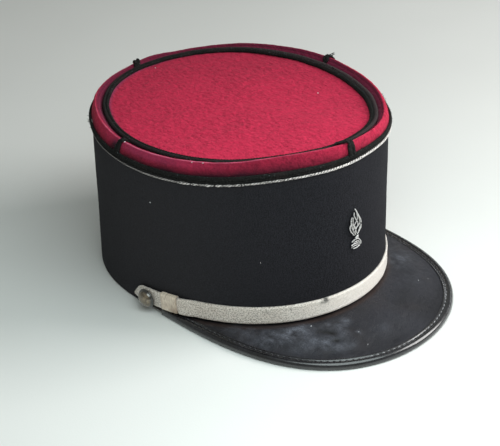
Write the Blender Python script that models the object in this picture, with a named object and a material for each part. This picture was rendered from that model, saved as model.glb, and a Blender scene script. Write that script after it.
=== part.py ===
"""A kepi: black wool tube, crimson felt turban with a sunken top, black braids, silver piping,
a bound leather peak, a silver chin strap between two domed buttons, and a flame badge.

Metres, +Z up, the front toward -Y. The origin lies on the table under the middle of the hat.
Angles go round the crown in degrees from its front, positive toward the wearer's left (+X).
"""

import math

import bmesh
import bpy
from mathutils import Matrix, Vector

MM = 0.001
GAP = 0.3 * MM                        # left between neighbouring pieces
CLOSE = 1e-6                          # how finely a crossing is searched for
STATIONS = 64                         # sections round the crown

# Where the crown's middle stands: the peak reaches forward, so it sits behind the origin.
CROWN_PLACE = (0.0, 24.9 * MM, 0.0)

# The crown's ovals, half length front to back and half width side to side.
FOOT_HALF_LENGTH = 98.7 * MM
FOOT_HALF_WIDTH = 82.7 * MM
SEAM_HALF_LENGTH = 97.6 * MM
SEAM_HALF_WIDTH = 84.1 * MM
SEAM_HEIGHT = 102.6 * MM              # the tube's top edge, hidden by the base braid
BODY_WALL = 2.5 * MM
BODY_RISES = (0.0, 0.33, 0.66, 1.0)   # shares of its height where its section has points

# How each oval leaves the ellipse: narrower at the front, and its third and fourth waves.
FOOT_FORM = {"egg": -0.028, "third": 0.025, "fourth": -0.014}
TOP_FORM = {"egg": 0.007, "third": 0.007, "fourth": 0.003}

# The top is higher in front, and bows up a little at both ends.
TOP_SLOPE = -0.048
TOP_BOW = 2.8 * MM
BOW_REACH = 100 * MM

# Swells and dents of the top, in degrees and millimetres.
# angle, spread each way, outward, lift of the whole top, further lift of the rim, outward of the sunken top
TOP_SWELLS = [
    (8, 22, -0.2, 0.1, -0.9, 0.0),    # the rim sags under the front braid
    (28, 26, 0.4, -0.2, -1.6, -0.3),
    (48, 44, 0.6, -1.7, 0.2, -0.8),   # bulge and sag at the left of the front
    (96, 24, 0.2, 0.3, 0.5, -0.1),
    (122, 42, 0.4, 1.2, -0.3, 0.2),
    (146, 26, 0.0, 0.0, -0.8, 0.3),
    (175, 16, 0.0, 0.1, 0.9, -0.3),   # the rim stands up beside the back braid
    (180, 50, -0.6, -0.6, -1.4, -0.3),    # and sags on both sides of it
    (212, 26, 0.9, 0.0, -0.8, -0.8),  # pinch beside the back braid
    (252, 38, -0.6, 0.0, -0.3, 0.9),
    (272, 34, -0.2, -0.2, -1.0, 1.2),     # the sunken top lies out to the wearer's right
    (300, 30, 0.7, -0.4, 0.1, 0.1),
    (333, 28, -1.1, 0.3, 1.1, 0.0),
]

# The foot's edge arches over the peak and comes back down to the table at the sides.
ARCH = {"mean": 3.1 * MM, "rise": 6.05 * MM, "wave": 1.16 * MM, "least": 3.5 * MM}
ARCH_ENDS = 90.0                      # degrees, just behind the peak's ends
ARCH_FOOT = 95.6                      # degrees, where the foot is back on the table

# The turban's section, outside to inside, in millimetres.
# half length, half width, height, share of the rim's own lift, share of the sunken top's move
TURBAN_SECTION = [
    (97.6, 84.1, 103.1, 0.0, 0.0),    # outer edge at the seam
    (98.1, 84.0, 105.9, 0.0, 0.0),    # where the braid's top edge lies
    (97.7, 82.5, 109.6, 0.5, 0.0),
    (97.1, 81.3, 112.1, 0.9, 0.0),
    (95.9, 79.9, 113.2, 1.0, 0.0),    # crest of the rim
    (94.8, 78.4, 112.3, 0.9, 0.2),
    (94.3, 76.4, 110.8, 0.5, 0.6),
    (94.0, 74.7, 108.8, 0.0, 1.0),    # foot of the inner wall
    (95.0, 76.2, 108.6, 0.0, 1.0),    # its hidden side
    (95.6, 79.0, 110.7, 0.5, 0.3),    # under the fold
    (95.5, 81.3, 108.4, 0.0, 0.0),
    (95.2, 81.6, 103.1, 0.0, 0.0),    # inner edge at the seam
]

TOP_DISC = {"half_length": 93.7 * MM, "half_width": 74.4 * MM, "height": 109.2 * MM,
            "wall": 2.0 * MM, "dome": 1.2 * MM}
DISC_RINGS = (1.0, 0.72, 0.4)         # shares of the disc's radius

PIPING_RADIUS = 0.8 * MM
PIPING_HEIGHT = 100.6 * MM
PIPING_SIDES = 6

# The base braid lies over the seam: its section outward from its inner face.
BASE_BRAID_LOW = 101.65 * MM
BASE_BRAID_HIGH = 105.9 * MM
BASE_BRAID_SECTION = [(0.0, 0.0), (1.1, 0.0), (1.65, 0.3), (1.65, 0.7), (1.1, 1.0), (0.0, 1.0)]

# The rim braid is a cord of two lobes: across its section, up, and share of its climb, in millimetres.
RIM_BRAID = {"half_length": 91.75 * MM, "half_width": 72.5 * MM, "height": 109.6 * MM}
RIM_BRAID_SECTION = [(-1.9, 0.3, 0.0), (-1.5, 1.7, 0.1), (-0.7, 2.1, 0.3), (0.0, 1.5, 0.5),
                     (0.7, 2.1, 0.8), (1.5, 1.7, 1.0), (1.9, 0.3, 0.4), (0.0, 0.0, 0.0)]
# Its outer lobe climbs the rim's wall, most of all toward one side.
RIM_BRAID_CLIMB = {"mean": 0.8 * MM, "rise": 0.9 * MM}
RIM_BRAID_CLIMB_SIDE = 80.0           # degrees

# Upright braids over the turban, and where each stands.
UPRIGHT_BRAIDS = {"braid_front": -1.7, "braid_right": -96.8, "braid_back": -178.4, "braid_left": 90.0}
UPRIGHT_WIDTH = 3.6 * MM
UPRIGHT_THICKNESS = 1.2 * MM
UPRIGHT_OFF = 0.5 * MM                # off the felt, so that its corners clear the rim's curve
UPRIGHT_GROOVE = 0.25                 # depth of its groove and drop of its sides, as a share of that
UPRIGHT_PATH = range(1, 6)            # the rows of the turban's section that it runs over
UPRIGHT_FOOT = 1.0 * MM               # it starts this far above the base braid
UPRIGHT_END = 0.6                     # how much of the last stretch it covers

# The peak's outline: half an oval, squared off at its corners.
PEAK_HALF_WIDTH = 82.4 * MM
PEAK_LENGTH = 148.7 * MM              # from the crown's middle to its front edge
PEAK_SQUARENESS = 3.65
PEAK_SKEW = 4.2 * MM                  # its front leans this far to the wearer's left
PEAK_SKEW_AT = 125.0 * MM             # and has all of that lean this far forward
PEAK_END = 5.0 * MM                   # its ends stop this far in front of the crown's middle
PEAK_WALL = 1.6 * MM
PEAK_DROP = 0.6 * MM                  # its upper side passes this far under the tube's wall
PEAK_TUCK = 2.2 * MM                  # how far it reaches under the tube's wall
PEAK_DOME = 1.5 * MM
PEAK_DOME_ENDS = 0.82                 # the share of its depth where the swelling dies out
PEAK_STATIONS = 40
PEAK_LINES = (0.0, 0.16, 0.3, 0.45, 0.6, 0.8, 1.0)

# The binding folded over the peak's edge.
BINDING_LEG = 6.2 * MM
BINDING_WALL = 1.0 * MM
BINDING_EASE = 0.3 * MM               # between the binding and the leather in it
BINDING_NOSE = 1.3 * MM               # from its outer edge to the peak's edge
BINDING_CLEAR = 0.5 * MM              # it stays this far from the tube
BINDING_LEAST = 2.1 * MM              # its legs are no shorter than this
# Its rounded outer edge: share of its half thickness in from the outline, and up.
BINDING_EDGE = [(0.2, 0.6), (0.0, 0.0), (0.2, -0.6)]

# The peak's outer edge, whose binding lies on the table: its upper side's height.
PEAK_EDGE_TOP = PEAK_WALL + BINDING_EASE + BINDING_WALL
PEAK_EDGE_EASE = 5.0 * MM             # a shallower peak than this keeps the tube's height
PEAK_DOME_EASE = 40.0 * MM            # a shallower peak than this is flatter

# The chin strap's lower and upper edges go up toward the front.
STRAP_LOW = {"mean": 6.8 * MM, "rise": 2.45 * MM, "wave": 2.3 * MM}
STRAP_HIGH = {"mean": 16.5 * MM, "rise": 5.5 * MM, "wave": 0.6 * MM}
STRAP_THICKNESS = 1.2 * MM
STRAP_STEP = 2.5                      # degrees
# Its pointed end, beyond the button: angle, then the shares of its width kept below and above.
STRAP_END = [(83.0, 0.0, 0.0), (87.6, 0.0, 0.0), (90.0, 0.05, 0.14), (92.2, 0.12, 0.48), (94.1, 0.2, 0.76)]

# The keeper loops round the strap.
LOOP_ANGLES = (73.5, 80.3)
LOOP_WALL = 1.0 * MM
LOOP_STEPS = 3
LOOP_EASE = 7.0                       # degrees over which the strap rises off the wall in front of a loop
LOOP_PINCH = {"low": 1.9 * MM, "high": 0.7 * MM}    # how far it draws the strap's edges in
LOOP_PINCH_EASE = 1.2                 # degrees over which they draw in

BUTTON_ANGLE = 86.9
BUTTON_HEIGHT = 9.5 * MM
BUTTON_SIDES = 24
# The button's turned profile: radius and distance off the strap, in millimetres.
BUTTON_PROFILE = [(4.6, 0.0), (5.9, 0.5), (6.2, 1.1), (5.7, 2.3), (4.4, 3.6), (2.4, 4.5)]
BUTTON_CROWN = 4.8 * MM

# The badge's outline, bottom to top: height above the table and half width, in millimetres.
BADGE_OUTLINE = [(49.7, 1.2), (50.6, 3.0), (52.4, 4.2), (54.4, 4.2), (56.2, 3.0), (57.3, 1.9), (58.8, 3.1),
                 (61.0, 4.9), (64.0, 5.2), (66.6, 4.3), (68.4, 4.4), (70.6, 2.9), (72.6, 2.5), (74.6, 1.1)]
BADGE_TIP = 76.2 * MM
BADGE_LAYERS = [(1.0, 0.0), (1.0, 0.9), (0.72, 1.7), (0.3, 2.1)]   # share of the width, mm off the tube
BADGE_DRAW = 0.8                      # share of its height left where its width has drawn in to nothing
BADGE_PLACE = 0.0                     # degrees

# Materials: red, green and blue as seen (0 to 255), roughness and metallic.
COATS = {
    "black_wool": ((34, 35, 40), 0.95, 0.0),
    "crimson_felt": ((186, 44, 78), 0.95, 0.0),
    "black_braid": ((38, 40, 40), 0.80, 0.0),
    "silver_cord": ((205, 198, 186), 0.45, 0.7),
    "silver_braid": ((205, 198, 180), 0.55, 0.6),
    "black_leather": ((52, 52, 60), 0.55, 0.0),
    "glossy_leather": ((26, 26, 30), 0.25, 0.0),
    "old_metal": ((120, 112, 98), 0.35, 0.9),
    "silver_thread": ((200, 198, 192), 0.50, 0.7),
}


def mix(a, b, share):
    """The value between a and b."""
    return a + (b - a) * share


def smooth(share):
    """Ease from 0 to 1."""
    share = min(max(share, 0.0), 1.0)
    return share * share * (3 - 2 * share)


def swell(angle, column):
    """One column of TOP_SWELLS, summed at an angle, in metres."""
    total = 0.0
    for row in TOP_SWELLS:
        away = abs((angle - row[0] + 180) % 360 - 180) / row[1]
        if away < 1:
            total += row[column] * (0.5 + 0.5 * math.cos(math.pi * away)) * MM
    return total


def oval(angle, half_length, half_width, top):
    """A point of the crown's oval; top is 0 for the foot's form and 1 for the top's."""
    t = math.radians(angle)
    form = {name: mix(FOOT_FORM[name], TOP_FORM[name], top) for name in FOOT_FORM}
    reach = 1 + form["third"] * math.cos(3 * t) + form["fourth"] * math.cos(4 * t)
    x = half_width * math.sin(t) * (1 + form["egg"] * math.cos(t)) * reach
    return x, -half_length * math.cos(t) * reach


def top_point(angle, half_length, half_width, height, rim=0.0, sunk=0.0):
    """A point of the top, whose height is counted at the crown's middle; rim is its share of the rim's lift
    and sunk its share of the sunken top's move."""
    out = swell(angle, 2) + sunk * swell(angle, 5)
    x, y = oval(angle, half_length + out, half_width + out, 1)
    bow = TOP_BOW * ((y / BOW_REACH) ** 2 - 0.5)
    lift = swell(angle, 3) + rim * swell(angle, 4)
    return Vector((x, y, height + TOP_SLOPE * y + bow + lift))


def seam_height(angle):
    """Height of the tube's top edge."""
    return top_point(angle, SEAM_HALF_LENGTH, SEAM_HALF_WIDTH, SEAM_HEIGHT).z


def wall_point(angle, height, out=0.0):
    """A point of the tube's outer face, or out of it, at a height above the table."""
    rise = height / seam_height(angle)
    out += swell(angle, 2) * rise * rise
    half_length = mix(FOOT_HALF_LENGTH, SEAM_HALF_LENGTH, rise) + out
    half_width = mix(FOOT_HALF_WIDTH, SEAM_HALF_WIDTH, rise) + out
    x, y = oval(angle, half_length, half_width, rise)
    return Vector((x, y, height))


def wall_outward(angle, height):
    """Horizontal direction out of the tube's wall."""
    step = 0.5
    along = wall_point(angle + step, height) - wall_point(angle - step, height)
    return Vector((-along.y, along.x, 0)).normalized() * -1


def edge_height(edge, angle):
    """Height of an edge that goes up toward the front."""
    t = math.radians(angle)
    return edge["mean"] + edge["rise"] * math.cos(t) + edge["wave"] * math.cos(2 * t)


def foot_height(angle):
    """Height of the tube's lower edge: over the peak in front, on the table behind."""
    away = abs((angle + 180) % 360 - 180)
    if away <= ARCH_ENDS:
        return max(ARCH["least"], edge_height(ARCH, away))
    return ARCH["least"] * (1 - smooth((away - ARCH_ENDS) / (ARCH_FOOT - ARCH_ENDS)))


def stations():
    """Angles of the sections round the crown."""
    return [360.0 * k / STATIONS for k in range(STATIONS)]


def skin(name, coat, rings, closed=False, poles=None):
    """A closed mesh over rings of points: joined end to start, fanned to two poles, or capped flat."""
    bm = bmesh.new()
    loops = [[bm.verts.new(point) for point in ring] for ring in rings]
    count = len(loops[0])
    pairs = list(zip(loops, loops[1:]))
    if closed:
        pairs.append((loops[-1], loops[0]))
    for near, far in pairs:
        for i in range(count):
            j = (i + 1) % count
            bm.faces.new((near[i], near[j], far[j], far[i]))
    if poles:
        for pole, loop in zip(poles, (loops[0], loops[-1])):
            tip = bm.verts.new(pole)
            for i in range(count):
                bm.faces.new((tip, loop[i], loop[(i + 1) % count]))
    elif not closed:
        bm.faces.new(loops[0])
        bm.faces.new(loops[-1])
    bmesh.ops.recalc_face_normals(bm, faces=bm.faces)
    if bm.calc_volume(signed=True) < 0:
        bmesh.ops.reverse_faces(bm, faces=bm.faces)
    mesh = bpy.data.meshes.new(name)
    bm.to_mesh(mesh)
    bm.free()
    mesh.shade_smooth()
    mesh.set_sharp_from_angle(angle=math.radians(40))
    piece = bpy.data.objects.new(name, mesh)
    piece.data.materials.append(material(coat))
    piece.parent = CROWN
    bpy.context.collection.objects.link(piece)
    return piece


def material(coat):
    """One Principled material for each coat."""
    if coat in bpy.data.materials:
        return bpy.data.materials[coat]
    seen, roughness, metallic = COATS[coat]
    made = bpy.data.materials.new(coat)
    made.use_nodes = True
    shader = made.node_tree.nodes["Principled BSDF"]
    shader.inputs["Base Color"].default_value = [linear(channel / 255) for channel in seen] + [1.0]
    shader.inputs["Roughness"].default_value = roughness
    shader.inputs["Metallic"].default_value = metallic
    return made


def linear(channel):
    """A screen colour's channel as linear light."""
    if channel <= 0.04045:
        return channel / 12.92
    return ((channel + 0.055) / 1.055) ** 2.4


def make_body():
    """The wool tube: open above and below, its foot arched over the peak."""
    rings = []
    for angle in stations():
        foot, head = foot_height(angle), seam_height(angle)
        outer = [wall_point(angle, mix(foot, head, rise)) for rise in BODY_RISES]
        inner = [wall_point(angle, mix(foot, head, rise), -BODY_WALL) for rise in reversed(BODY_RISES)]
        rings.append(outer + inner)
    skin("crown_body", "black_wool", rings, closed=True)


def turban_point(angle, row, out=0.0):
    """A point of the turban's section, moved outward along the oval if asked."""
    half_length, half_width, height, rim, sunk = TURBAN_SECTION[row]
    return top_point(angle, half_length * MM + out, half_width * MM + out, height * MM, rim, sunk)


def make_turban():
    """The felt band, rolled over at the rim and turned down inside to the sunken top."""
    rows = range(len(TURBAN_SECTION))
    rings = [[turban_point(angle, row) for row in rows] for angle in stations()]
    skin("turban", "crimson_felt", rings, closed=True)


def disc_point(angle, share, drop=0.0):
    """A point of the sunken top, gently domed, or below it."""
    half_length = TOP_DISC["half_length"] * share
    half_width = TOP_DISC["half_width"] * share
    edge = top_point(angle, TOP_DISC["half_length"], TOP_DISC["half_width"], 0.0)
    middle = TOP_DISC["height"] - TOP_BOW * 0.5
    rise = TOP_DISC["height"] + edge.z - middle
    out = (swell(angle, 2) + swell(angle, 5)) * share
    x, y = oval(angle, half_length + out, half_width + out, 1)
    z = middle + rise * share + TOP_DISC["dome"] * (1 - share * share)
    return Vector((x, y, z - drop))


def make_top():
    """The sunken felt disc."""
    upper = [[disc_point(angle, share) for angle in stations()] for share in reversed(DISC_RINGS)]
    lower = [[disc_point(angle, share, TOP_DISC["wall"]) for angle in stations()] for share in DISC_RINGS]
    poles = (disc_point(0, 0), disc_point(0, 0, TOP_DISC["wall"]))
    skin("crown_top", "crimson_felt", upper + lower, poles=poles)


def make_piping():
    """The silver cord at the head of the tube."""
    out = GAP + PIPING_RADIUS
    rings = []
    for angle in stations():
        ring = []
        for k in range(PIPING_SIDES):
            turn = 2 * math.pi * k / PIPING_SIDES
            across = out + PIPING_RADIUS * math.cos(turn)
            up = PIPING_HEIGHT + PIPING_RADIUS * math.sin(turn)
            ring.append(top_point(angle, SEAM_HALF_LENGTH + across, SEAM_HALF_WIDTH + across, up))
        rings.append(ring)
    skin("piping", "silver_cord", rings, closed=True)


def make_base_braid():
    """The braid over the seam, flat behind and rounded outside."""
    rings = []
    for angle in stations():
        ring = []
        for out, rise in BASE_BRAID_SECTION:
            half_length = mix(SEAM_HALF_LENGTH, TURBAN_SECTION[1][0] * MM, rise) + GAP + out * MM
            half_width = SEAM_HALF_WIDTH + GAP + out * MM
            height = mix(BASE_BRAID_LOW, BASE_BRAID_HIGH, rise)
            ring.append(top_point(angle, half_length, half_width, height))
        rings.append(ring)
    skin("base_braid", "black_braid", rings, closed=True)


def make_rim_braid():
    """The two-lobed cord at the foot of the rim's inner wall."""
    rings = []
    for angle in stations():
        climb = RIM_BRAID_CLIMB["mean"]
        climb += RIM_BRAID_CLIMB["rise"] * math.cos(math.radians(angle - RIM_BRAID_CLIMB_SIDE))
        ring = []
        for across, up, share in RIM_BRAID_SECTION:
            half_length = RIM_BRAID["half_length"] + across * MM
            half_width = RIM_BRAID["half_width"] + across * MM
            height = RIM_BRAID["height"] + up * MM + climb * share
            ring.append(top_point(angle, half_length, half_width, height, sunk=1.0))
        rings.append(ring)
    skin("rim_braid", "black_braid", rings, closed=True)


def make_upright(name, angle):
    """A braid up the turban, over the rim and down its inner wall."""
    path = [turban_point(angle, row) for row in UPRIGHT_PATH]
    path[0] = path[0].lerp(path[1], UPRIGHT_FOOT / (path[1] - path[0]).length)
    path[-1] = path[-2].lerp(path[-1], UPRIGHT_END)
    aside = (turban_point(angle + 0.5, 4) - turban_point(angle - 0.5, 4)).normalized()
    rings = []
    for k, point in enumerate(path):
        before = path[max(k - 1, 0)]
        after = path[min(k + 1, len(path) - 1)]
        off = aside.cross(after - before).normalized()
        low = point + off * UPRIGHT_OFF
        high = point + off * (UPRIGHT_OFF + UPRIGHT_THICKNESS)
        half = aside * UPRIGHT_WIDTH / 2
        lobe = aside * UPRIGHT_WIDTH / 4
        drop = off * UPRIGHT_THICKNESS * UPRIGHT_GROOVE
        rings.append([low - half, high - half - drop, high - lobe, high - drop,
                      high + lobe, high + half - drop, low + half])
    skin(name, "black_braid", rings)


def peak_edge(direction, outline):
    """How far out the leather's edge lies inside its binding, on a line that crosses the outline there."""
    spot = direction * outline
    across = (spot.x - peak_axis(spot.y)) / PEAK_HALF_WIDTH
    ahead = -spot.y / PEAK_LENGTH
    normal = Vector((2 * across / PEAK_HALF_WIDTH,
                     -PEAK_SQUARENESS * ahead ** (PEAK_SQUARENESS - 1) / PEAK_LENGTH, 0)).normalized()
    return outline - BINDING_NOSE / normal.dot(direction)


def peak_axis(y):
    """Where the middle of the peak's width lies, at a place along the hat."""
    return PEAK_SKEW * smooth(-y / PEAK_SKEW_AT)


def outline_point(turn):
    """A point of the peak's outline; turn is 0 in front and 90 degrees at its ends."""
    t = math.radians(turn)
    y = -PEAK_LENGTH * math.cos(t) ** (2 / PEAK_SQUARENESS)
    return Vector((peak_axis(y) + PEAK_HALF_WIDTH * math.sin(t), y, 0))


def peak_outline():
    """Evenly spaced points of the peak's edge, from the wearer's right end to the left end."""
    fine = 720
    points = [outline_point(90.0 * k / fine) for k in range(-fine, fine + 1)]
    points = [point for point in points if point.y < -PEAK_END]
    lengths = [0.0]
    for near, far in zip(points, points[1:]):
        lengths.append(lengths[-1] + (far - near).length)
    even = []
    at = 0
    for k in range(PEAK_STATIONS + 1):
        wanted = lengths[-1] * k / PEAK_STATIONS
        while at < len(lengths) - 2 and lengths[at + 1] < wanted:
            at += 1
        share = (wanted - lengths[at]) / (lengths[at + 1] - lengths[at])
        even.append(points[at].lerp(points[at + 1], share))
    return even


def fan(point):
    """The line from the crown's middle through a plan point: its direction, the angle where it leaves
    the tube's foot, and how far out the foot and the peak's outline lie on it."""
    direction = Vector((point.x, point.y, 0)).normalized()
    low, high = 0.0, 2 * PEAK_LENGTH
    while high - low > CLOSE:
        middle = (low + high) / 2
        spot = direction * middle
        across = abs(spot.x - peak_axis(spot.y)) / PEAK_HALF_WIDTH
        ahead = abs(spot.y) / PEAK_LENGTH
        if across ** 2 + ahead ** PEAK_SQUARENESS < 1:
            low = middle
        else:
            high = middle
    outline = low
    angle = math.degrees(math.atan2(direction.x, -direction.y))
    low, high = angle - 30, angle + 30
    while high - low > CLOSE:
        middle = (low + high) / 2
        spot = wall_point(middle, foot_height(middle))
        if spot.x * direction.y - spot.y * direction.x > 0:
            low = middle
        else:
            high = middle
    spot = wall_point(low, foot_height(low))
    return direction, low, spot.xy.length, outline


def peak_height(point):
    """Height of the peak's upper side at a plan point."""
    direction, angle, foot, outline = fan(point)
    inner, outer = foot - PEAK_TUCK, peak_edge(direction, outline)
    share = min(max((point.xy.length - inner) / (outer - inner), 0.0), 1.0)
    under = foot_height(angle) - PEAK_DROP
    reach = outline - foot
    edge = mix(under, PEAK_EDGE_TOP, smooth(reach / PEAK_EDGE_EASE))
    away = min(share / PEAK_DOME_ENDS, 1.0) * 2 - 1
    dome = PEAK_DOME * (1 - away * away) ** 2 * smooth(reach / PEAK_DOME_EASE)
    return mix(under, edge, share) + dome


def make_peak():
    """The leather peak: from under the tube's wall down to its edge near the table."""
    rings = []
    for edge_point in peak_outline():
        direction, _, foot, outline = fan(edge_point)
        ring = []
        for share in PEAK_LINES:
            spot = direction * mix(foot - PEAK_TUCK, peak_edge(direction, outline), share)
            ring.append(Vector((spot.x, spot.y, peak_height(spot))))
        lower = [Vector((spot.x, spot.y, spot.z - PEAK_WALL)) for spot in reversed(ring)]
        rings.append(ring + lower)
    skin("peak", "black_leather", rings)


def make_binding():
    """The strip folded over the peak's edge, its legs above and below the leather."""
    edge = peak_outline()
    over = BINDING_EASE + BINDING_WALL
    nose_middle = PEAK_EDGE_TOP - PEAK_WALL / 2
    nose_half = PEAK_WALL / 2 + over
    rings = []
    for k, point in enumerate(edge):
        before = edge[max(k - 1, 0)]
        after = edge[min(k + 1, len(edge) - 1)]
        along = (after - before).normalized()
        inward = Vector((-along.y, along.x, 0))
        _, _, foot, outline = fan(point)
        leg = min(BINDING_LEG, outline - foot - BINDING_CLEAR)
        if leg < BINDING_LEAST:
            continue
        spots = []
        for depth in (leg, mix(BINDING_NOSE, leg, 0.5), BINDING_NOSE):
            spot = point + inward * depth
            spots.append(Vector((spot.x, spot.y, peak_height(spot))))
        up = Vector((0, 0, 1))
        ring = [spot + up * over for spot in spots]
        for depth, rise in BINDING_EDGE:
            spot = point + inward * depth * nose_half
            ring.append(Vector((spot.x, spot.y, nose_middle + rise * nose_half)))
        ring += [spot - up * (PEAK_WALL + over) for spot in reversed(spots)]
        pocket = point + inward * (BINDING_NOSE - BINDING_EASE)
        inside = spots[:2] + [Vector((pocket.x, pocket.y, spots[2].z))]
        ring += [spot - up * (PEAK_WALL + BINDING_EASE) for spot in inside]
        ring += [spot + up * BINDING_EASE for spot in reversed(inside)]
        rings.append(ring)
    skin("peak_binding", "glossy_leather", rings)


def strap_off(angle):
    """How far the strap's inner face stands off the tube: further from the loops to its ends."""
    rise = smooth((abs(angle) - LOOP_ANGLES[0] + 1 + LOOP_EASE) / LOOP_EASE)
    return GAP + (GAP + LOOP_WALL) * rise


def strap_edges(angle):
    """Heights of the strap's lower and upper edges, drawn in by the loops and toward its pointed ends."""
    away = abs(angle)
    low, high = edge_height(STRAP_LOW, away), edge_height(STRAP_HIGH, away)
    beyond = max(LOOP_ANGLES[0] - away, away - LOOP_ANGLES[1], 0.0)
    pinch = 1 - smooth(beyond / LOOP_PINCH_EASE)
    low += LOOP_PINCH["low"] * pinch
    high -= LOOP_PINCH["high"] * pinch
    below = above = 0.0
    for near, far in zip(STRAP_END, STRAP_END[1:]):
        if away >= near[0]:
            share = min((away - near[0]) / (far[0] - near[0]), 1.0)
            below = mix(near[1], far[1], share)
            above = mix(near[2], far[2], share)
    width = high - low
    return low + below * width, high - above * width


def loop_angles():
    """Angles of a loop's sections."""
    return [mix(*LOOP_ANGLES, k / LOOP_STEPS) for k in range(LOOP_STEPS + 1)]


def strap_angles():
    """Angles of the strap's sections: even in front, then at the loops and the corners of its ends."""
    start = LOOP_ANGLES[0] - LOOP_PINCH_EASE
    side = [start] + loop_angles() + [LOOP_ANGLES[1] + LOOP_PINCH_EASE] + [row[0] for row in STRAP_END]
    count = round(2 * start / STRAP_STEP)
    front = [mix(-start, start, k / count) for k in range(1, count)]
    return [-angle for angle in reversed(side)] + front + side


def make_strap():
    """The woven strap from one button round the front to the other."""
    rings = []
    for angle in strap_angles():
        low, high = strap_edges(angle)
        off = strap_off(angle)
        outer = off + STRAP_THICKNESS
        rings.append([wall_point(angle, low, off), wall_point(angle, high, off),
                      wall_point(angle, high, outer), wall_point(angle, low, outer)])
    skin("chin_strap", "silver_braid", rings)


def make_loop(name, side):
    """A keeper: a flat sleeve round the strap."""
    angles = [side * angle for angle in loop_angles()]
    corners = [(0, 0), (0, 1), (1, 1), (1, 0)]
    rings = []
    for outer, upper in corners:
        ring = []
        for wall, order in ((LOOP_WALL, angles), (0.0, angles[::-1])):
            for angle in order:
                low, high = strap_edges(angle)
                spread = GAP + wall
                height = high + spread if upper else low - spread
                off = strap_off(angle)
                off = off + STRAP_THICKNESS + spread if outer else off - spread
                ring.append(wall_point(angle, height, off))
        rings.append(ring)
    skin(name, "silver_braid", rings, closed=True)


def make_button(name, side):
    """A domed button on the strap's end."""
    angle = side * BUTTON_ANGLE
    outward = wall_outward(angle, BUTTON_HEIGHT)
    centre = wall_point(angle, BUTTON_HEIGHT, strap_off(angle) + STRAP_THICKNESS + GAP)
    centre += outward * GAP
    turn = Vector((0, 0, 1)).rotation_difference(outward).to_matrix()
    rings = []
    for radius, off in BUTTON_PROFILE:
        ring = []
        for k in range(BUTTON_SIDES):
            around = Matrix.Rotation(2 * math.pi * k / BUTTON_SIDES, 3, "Z")
            ring.append(centre + turn @ (around @ Vector((radius * MM, 0, off * MM))))
        rings.append(ring)
    poles = (centre, centre + outward * BUTTON_CROWN)
    skin(name, "old_metal", rings, poles=poles)


def make_badge():
    """The embroidered flame over a ball, padded in the middle."""
    rows = [(height * MM, half * MM) for height, half in BADGE_OUTLINE]
    outline = [(half, height) for height, half in rows] + [(0.0, BADGE_TIP)]
    outline += [(-half, height) for height, half in reversed(rows)]
    waist = (rows[0][0] + BADGE_TIP) / 2
    rings = []
    for share, off in BADGE_LAYERS:
        ring = []
        for across, height in outline:
            rise = mix(waist, height, mix(BADGE_DRAW, 1.0, share))
            spot = wall_point(BADGE_PLACE, rise, GAP + off * MM)
            outward = wall_outward(BADGE_PLACE, height)
            bend = -outward * (across * across) / (2 * FOOT_HALF_WIDTH)
            ring.append(spot + Vector((across * share, 0, 0)) + bend)
        rings.append(ring)
    skin("badge", "silver_thread", rings)


for old in list(bpy.data.objects):
    bpy.data.objects.remove(old)

CROWN = bpy.data.objects.new("kepi", None)
CROWN.location = CROWN_PLACE
bpy.context.collection.objects.link(CROWN)

make_body()
make_turban()
make_top()
make_piping()
make_base_braid()
make_rim_braid()
for braid, place in UPRIGHT_BRAIDS.items():
    make_upright(braid, place)
make_peak()
make_binding()
make_strap()
for hand, sign in (("right", -1), ("left", 1)):
    make_loop(f"loop_{hand}", sign)
    make_button(f"button_{hand}", sign)
make_badge()
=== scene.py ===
"""The kepi as photographed: crimson felt top and band, black wool tube, braids, twisted silver piping,
bound leather peak, silver chin strap with keepers and buttons, and the embroidered flame badge.

Metres, +Z up, the front toward -Y. Angles go round the crown in degrees from its front, positive
toward the wearer's left (+X). The forms are those of the CAD solids that the pieces replace.
"""

import math
import random

import bmesh
import bpy
import numpy as np
from mathutils import Matrix, Vector, noise


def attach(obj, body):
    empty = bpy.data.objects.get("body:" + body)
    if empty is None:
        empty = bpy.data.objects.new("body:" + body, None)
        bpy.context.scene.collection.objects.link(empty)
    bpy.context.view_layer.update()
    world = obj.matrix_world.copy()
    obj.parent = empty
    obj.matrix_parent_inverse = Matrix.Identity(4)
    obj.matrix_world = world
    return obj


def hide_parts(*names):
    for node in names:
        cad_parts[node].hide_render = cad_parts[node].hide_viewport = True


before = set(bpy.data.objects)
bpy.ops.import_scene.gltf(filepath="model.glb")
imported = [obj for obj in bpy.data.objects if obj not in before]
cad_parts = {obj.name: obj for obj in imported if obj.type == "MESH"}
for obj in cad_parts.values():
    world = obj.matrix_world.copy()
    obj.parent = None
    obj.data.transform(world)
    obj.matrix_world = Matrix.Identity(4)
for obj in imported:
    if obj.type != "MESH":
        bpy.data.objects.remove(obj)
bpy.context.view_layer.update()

MM = 0.001
UP = np.array((0.0, 0.0, 1.0))
CROWN = np.array((0.0, 24.9, 0.0)) * MM

# ---------------------------------------------------------------- the crown's forms, as in the CAD

FOOT_HALF_LENGTH, FOOT_HALF_WIDTH = 98.7 * MM, 82.7 * MM
SEAM_HALF_LENGTH, SEAM_HALF_WIDTH, SEAM_HEIGHT = 97.6 * MM, 84.1 * MM, 102.6 * MM
BODY_WALL = 2.5 * MM
# Each oval's form: how egg-shaped it is, and its waves of three and of four to the round.
FOOT_FORM = (-0.028, 0.025, -0.014)
TOP_FORM = (0.007, 0.007, 0.003)
TOP_SLOPE = -0.048
TOP_BOW, BOW_REACH = 2.8 * MM, 100 * MM

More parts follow.
